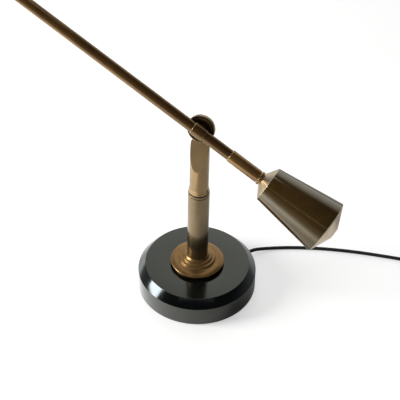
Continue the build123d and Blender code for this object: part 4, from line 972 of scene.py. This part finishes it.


# White floor, lifted to white for the camera's own rays so that only the lamp's shadow shows. What the lamp's
# metal mirrors of it is painted light and shade: a glow brightest at the window's side that darkens to a painted
# shadow at the right: by the close values up to closeTo from the base's middle, and by the open values from
# openFrom on. Between near and far this painted light fades to farShare. The camera's own rays get seenNear up to
# seenFrom and seenFar from seenTo on, which paints the floor a little darker near the base, a painted shade.
# Lengths are in metres.
floorLook = {"half": 9.0, "colour": (0.7, 0.7, 0.695), "roughness": 0.9, "gloss": 0.1,
             "towards": (0.92, 0.39, 0.0), "closeTo": 0.1, "openFrom": 0.19, "closeLeft": -0.22,
             "closeRight": 0.06, "closeBright": 2.4, "closeDark": 0.0, "openLeft": -0.36, "openRight": -0.08,
             "openBright": 2.2, "openDark": 0.36, "near": 0.35, "far": 1.1, "farShare": 0.25,
             "seenFrom": 0.14, "seenTo": 0.32, "seenNear": 0.54, "seenFar": 0.62}


def makeFloor(look):
    half = look["half"]
    corners = [(-half, -half, 0), (half, -half, 0), (half, half, 0), (-half, half, 0)]
    mesh = bpy.data.meshes.new("floor")
    mesh.from_pydata(corners, [], [(0, 1, 2, 3)])
    finish = Finish("floorWhite")
    finish.set(Base_Color=(*look["colour"], 1.0), Roughness=look["roughness"], Specular_IOR_Level=look["gloss"],
               Emission_Color=(1.0, 1.0, 1.0, 1.0))
    rays = finish.node("LightPath").outputs
    place = finish.objectPlace()
    side = finish.node("VectorMath", {0: place, 1: look["towards"]}, operation="DOT_PRODUCT").outputs["Value"]
    away = finish.node("VectorMath", {0: place}, operation="LENGTH").outputs["Value"]
    close = finish.spread(side, look["closeLeft"], look["closeRight"], look["closeBright"], look["closeDark"])
    farther = finish.spread(side, look["openLeft"], look["openRight"], look["openBright"], look["openDark"])
    share = finish.spread(away, look["closeTo"], look["openFrom"], 0.0, 1.0)
    change = finish.calculate("MULTIPLY", share, finish.calculate("SUBTRACT", farther, close))
    mirrored = finish.calculate("ADD", close, change)
    faded = finish.spread(away, look["near"], look["far"], 1.0, look["farShare"])
    seen = finish.spread(away, look["seenFrom"], look["seenTo"], look["seenNear"], look["seenFar"])
    straight = finish.calculate("MAXIMUM", rays["Is Camera Ray"], rays["Is Transmission Ray"])
    direct = finish.calculate("MULTIPLY", straight, seen)
    mirrored = finish.calculate("MULTIPLY", mirrored, faded)
    glossy = finish.calculate("MULTIPLY", rays["Is Glossy Ray"], mirrored)
    finish.link(finish.calculate("ADD", direct, glossy), "Emission Strength")
    showMesh("floor", mesh, finish.material)


# Soft window-like panel at the left, a thin strip in front and a weak fill above, in degrees, metres and watts.
# Directions are from the point that they aim at, low on the stem.
lamps = {
    "window": {"azimuth": -157.0, "elevation": 24.0, "distance": 1.5, "width": 0.62, "height": 0.7,
               "power": 24.0},
    "strip": {"azimuth": -74.0, "elevation": 38.5, "distance": 2.4, "width": 2.6, "height": 0.09,
              "power": 0.35},
    "overhead": {"azimuth": 110.0, "elevation": 72.0, "distance": 2.0, "width": 1.2, "height": 1.2,
                 "power": 6.0},
}
lampAim = Vector((0.0, 0.0, 0.12))


def makeLamp(name, lamp):
    data = bpy.data.lights.new(name, "AREA")
    data.shape = "RECTANGLE"
    data.size = lamp["width"]
    data.size_y = lamp["height"]
    data.energy = lamp["power"]
    azimuth, elevation = math.radians(lamp["azimuth"]), math.radians(lamp["elevation"])
    level = math.cos(elevation)
    away = Vector((math.cos(azimuth) * level, math.sin(azimuth) * level, math.sin(elevation)))
    light = bpy.data.objects.new(name, data)
    light.location = lampAim + away * lamp["distance"]
    light.rotation_euler = away.to_track_quat("Z", "Y").to_euler()
    light.visible_camera = False
    bpy.context.scene.collection.objects.link(light)


# Studio round the lamp: a white backdrop behind, a dim room elsewhere, and darkness overhead. inner and outer
# are the cosines of the angles from the backdrop's middle at which it is full and gone. The camera's own rays
# see the plain white of "seen".
studio = {"backdropTowards": (-0.1, 0.94, 0.32), "backdrop": 1.3, "inner": 0.97, "outer": 0.63, "room": 0.3,
          "dark": 0.04, "roomTop": 0.45, "seen": 1.0}


def makeStudio(look):
    world = bpy.data.worlds.new("studio")
    bpy.context.scene.world = world
    world.use_nodes = True
    build = NodeBuilder(world.node_tree)
    direction = build.node("TexCoord").outputs["Generated"]
    backdropTowards = Vector(look["backdropTowards"]).normalized()
    towards = build.node("VectorMath", {0: direction, 1: backdropTowards}, operation="DOT_PRODUCT")
    backdrop = build.spread(towards.outputs["Value"], look["outer"], look["inner"], 0.0, 1.0, "SMOOTHSTEP")
    height = build.node("SeparateXYZ", {0: direction}).outputs["Z"]
    room = build.spread(height, 0.0, look["roomTop"], look["room"], look["dark"], "SMOOTHSTEP")
    level = build.between(backdrop, room, look["backdrop"])
    rays = build.node("LightPath").outputs
    straight = build.calculate("MAXIMUM", rays["Is Camera Ray"], rays["Is Transmission Ray"])
    background = world.node_tree.nodes["Background"]
    background.inputs["Color"].default_value = (1.0, 1.0, 1.0, 1.0)
    strength = build.between(straight, level, look["seen"])
    world.node_tree.links.new(strength, background.inputs["Strength"])


makeFloor(floorLook)
for lampName, lamp in lamps.items():
    makeLamp(lampName, lamp)
makeStudio(studio)
bpy.context.scene.view_settings.view_transform = "Standard"
print("light set")
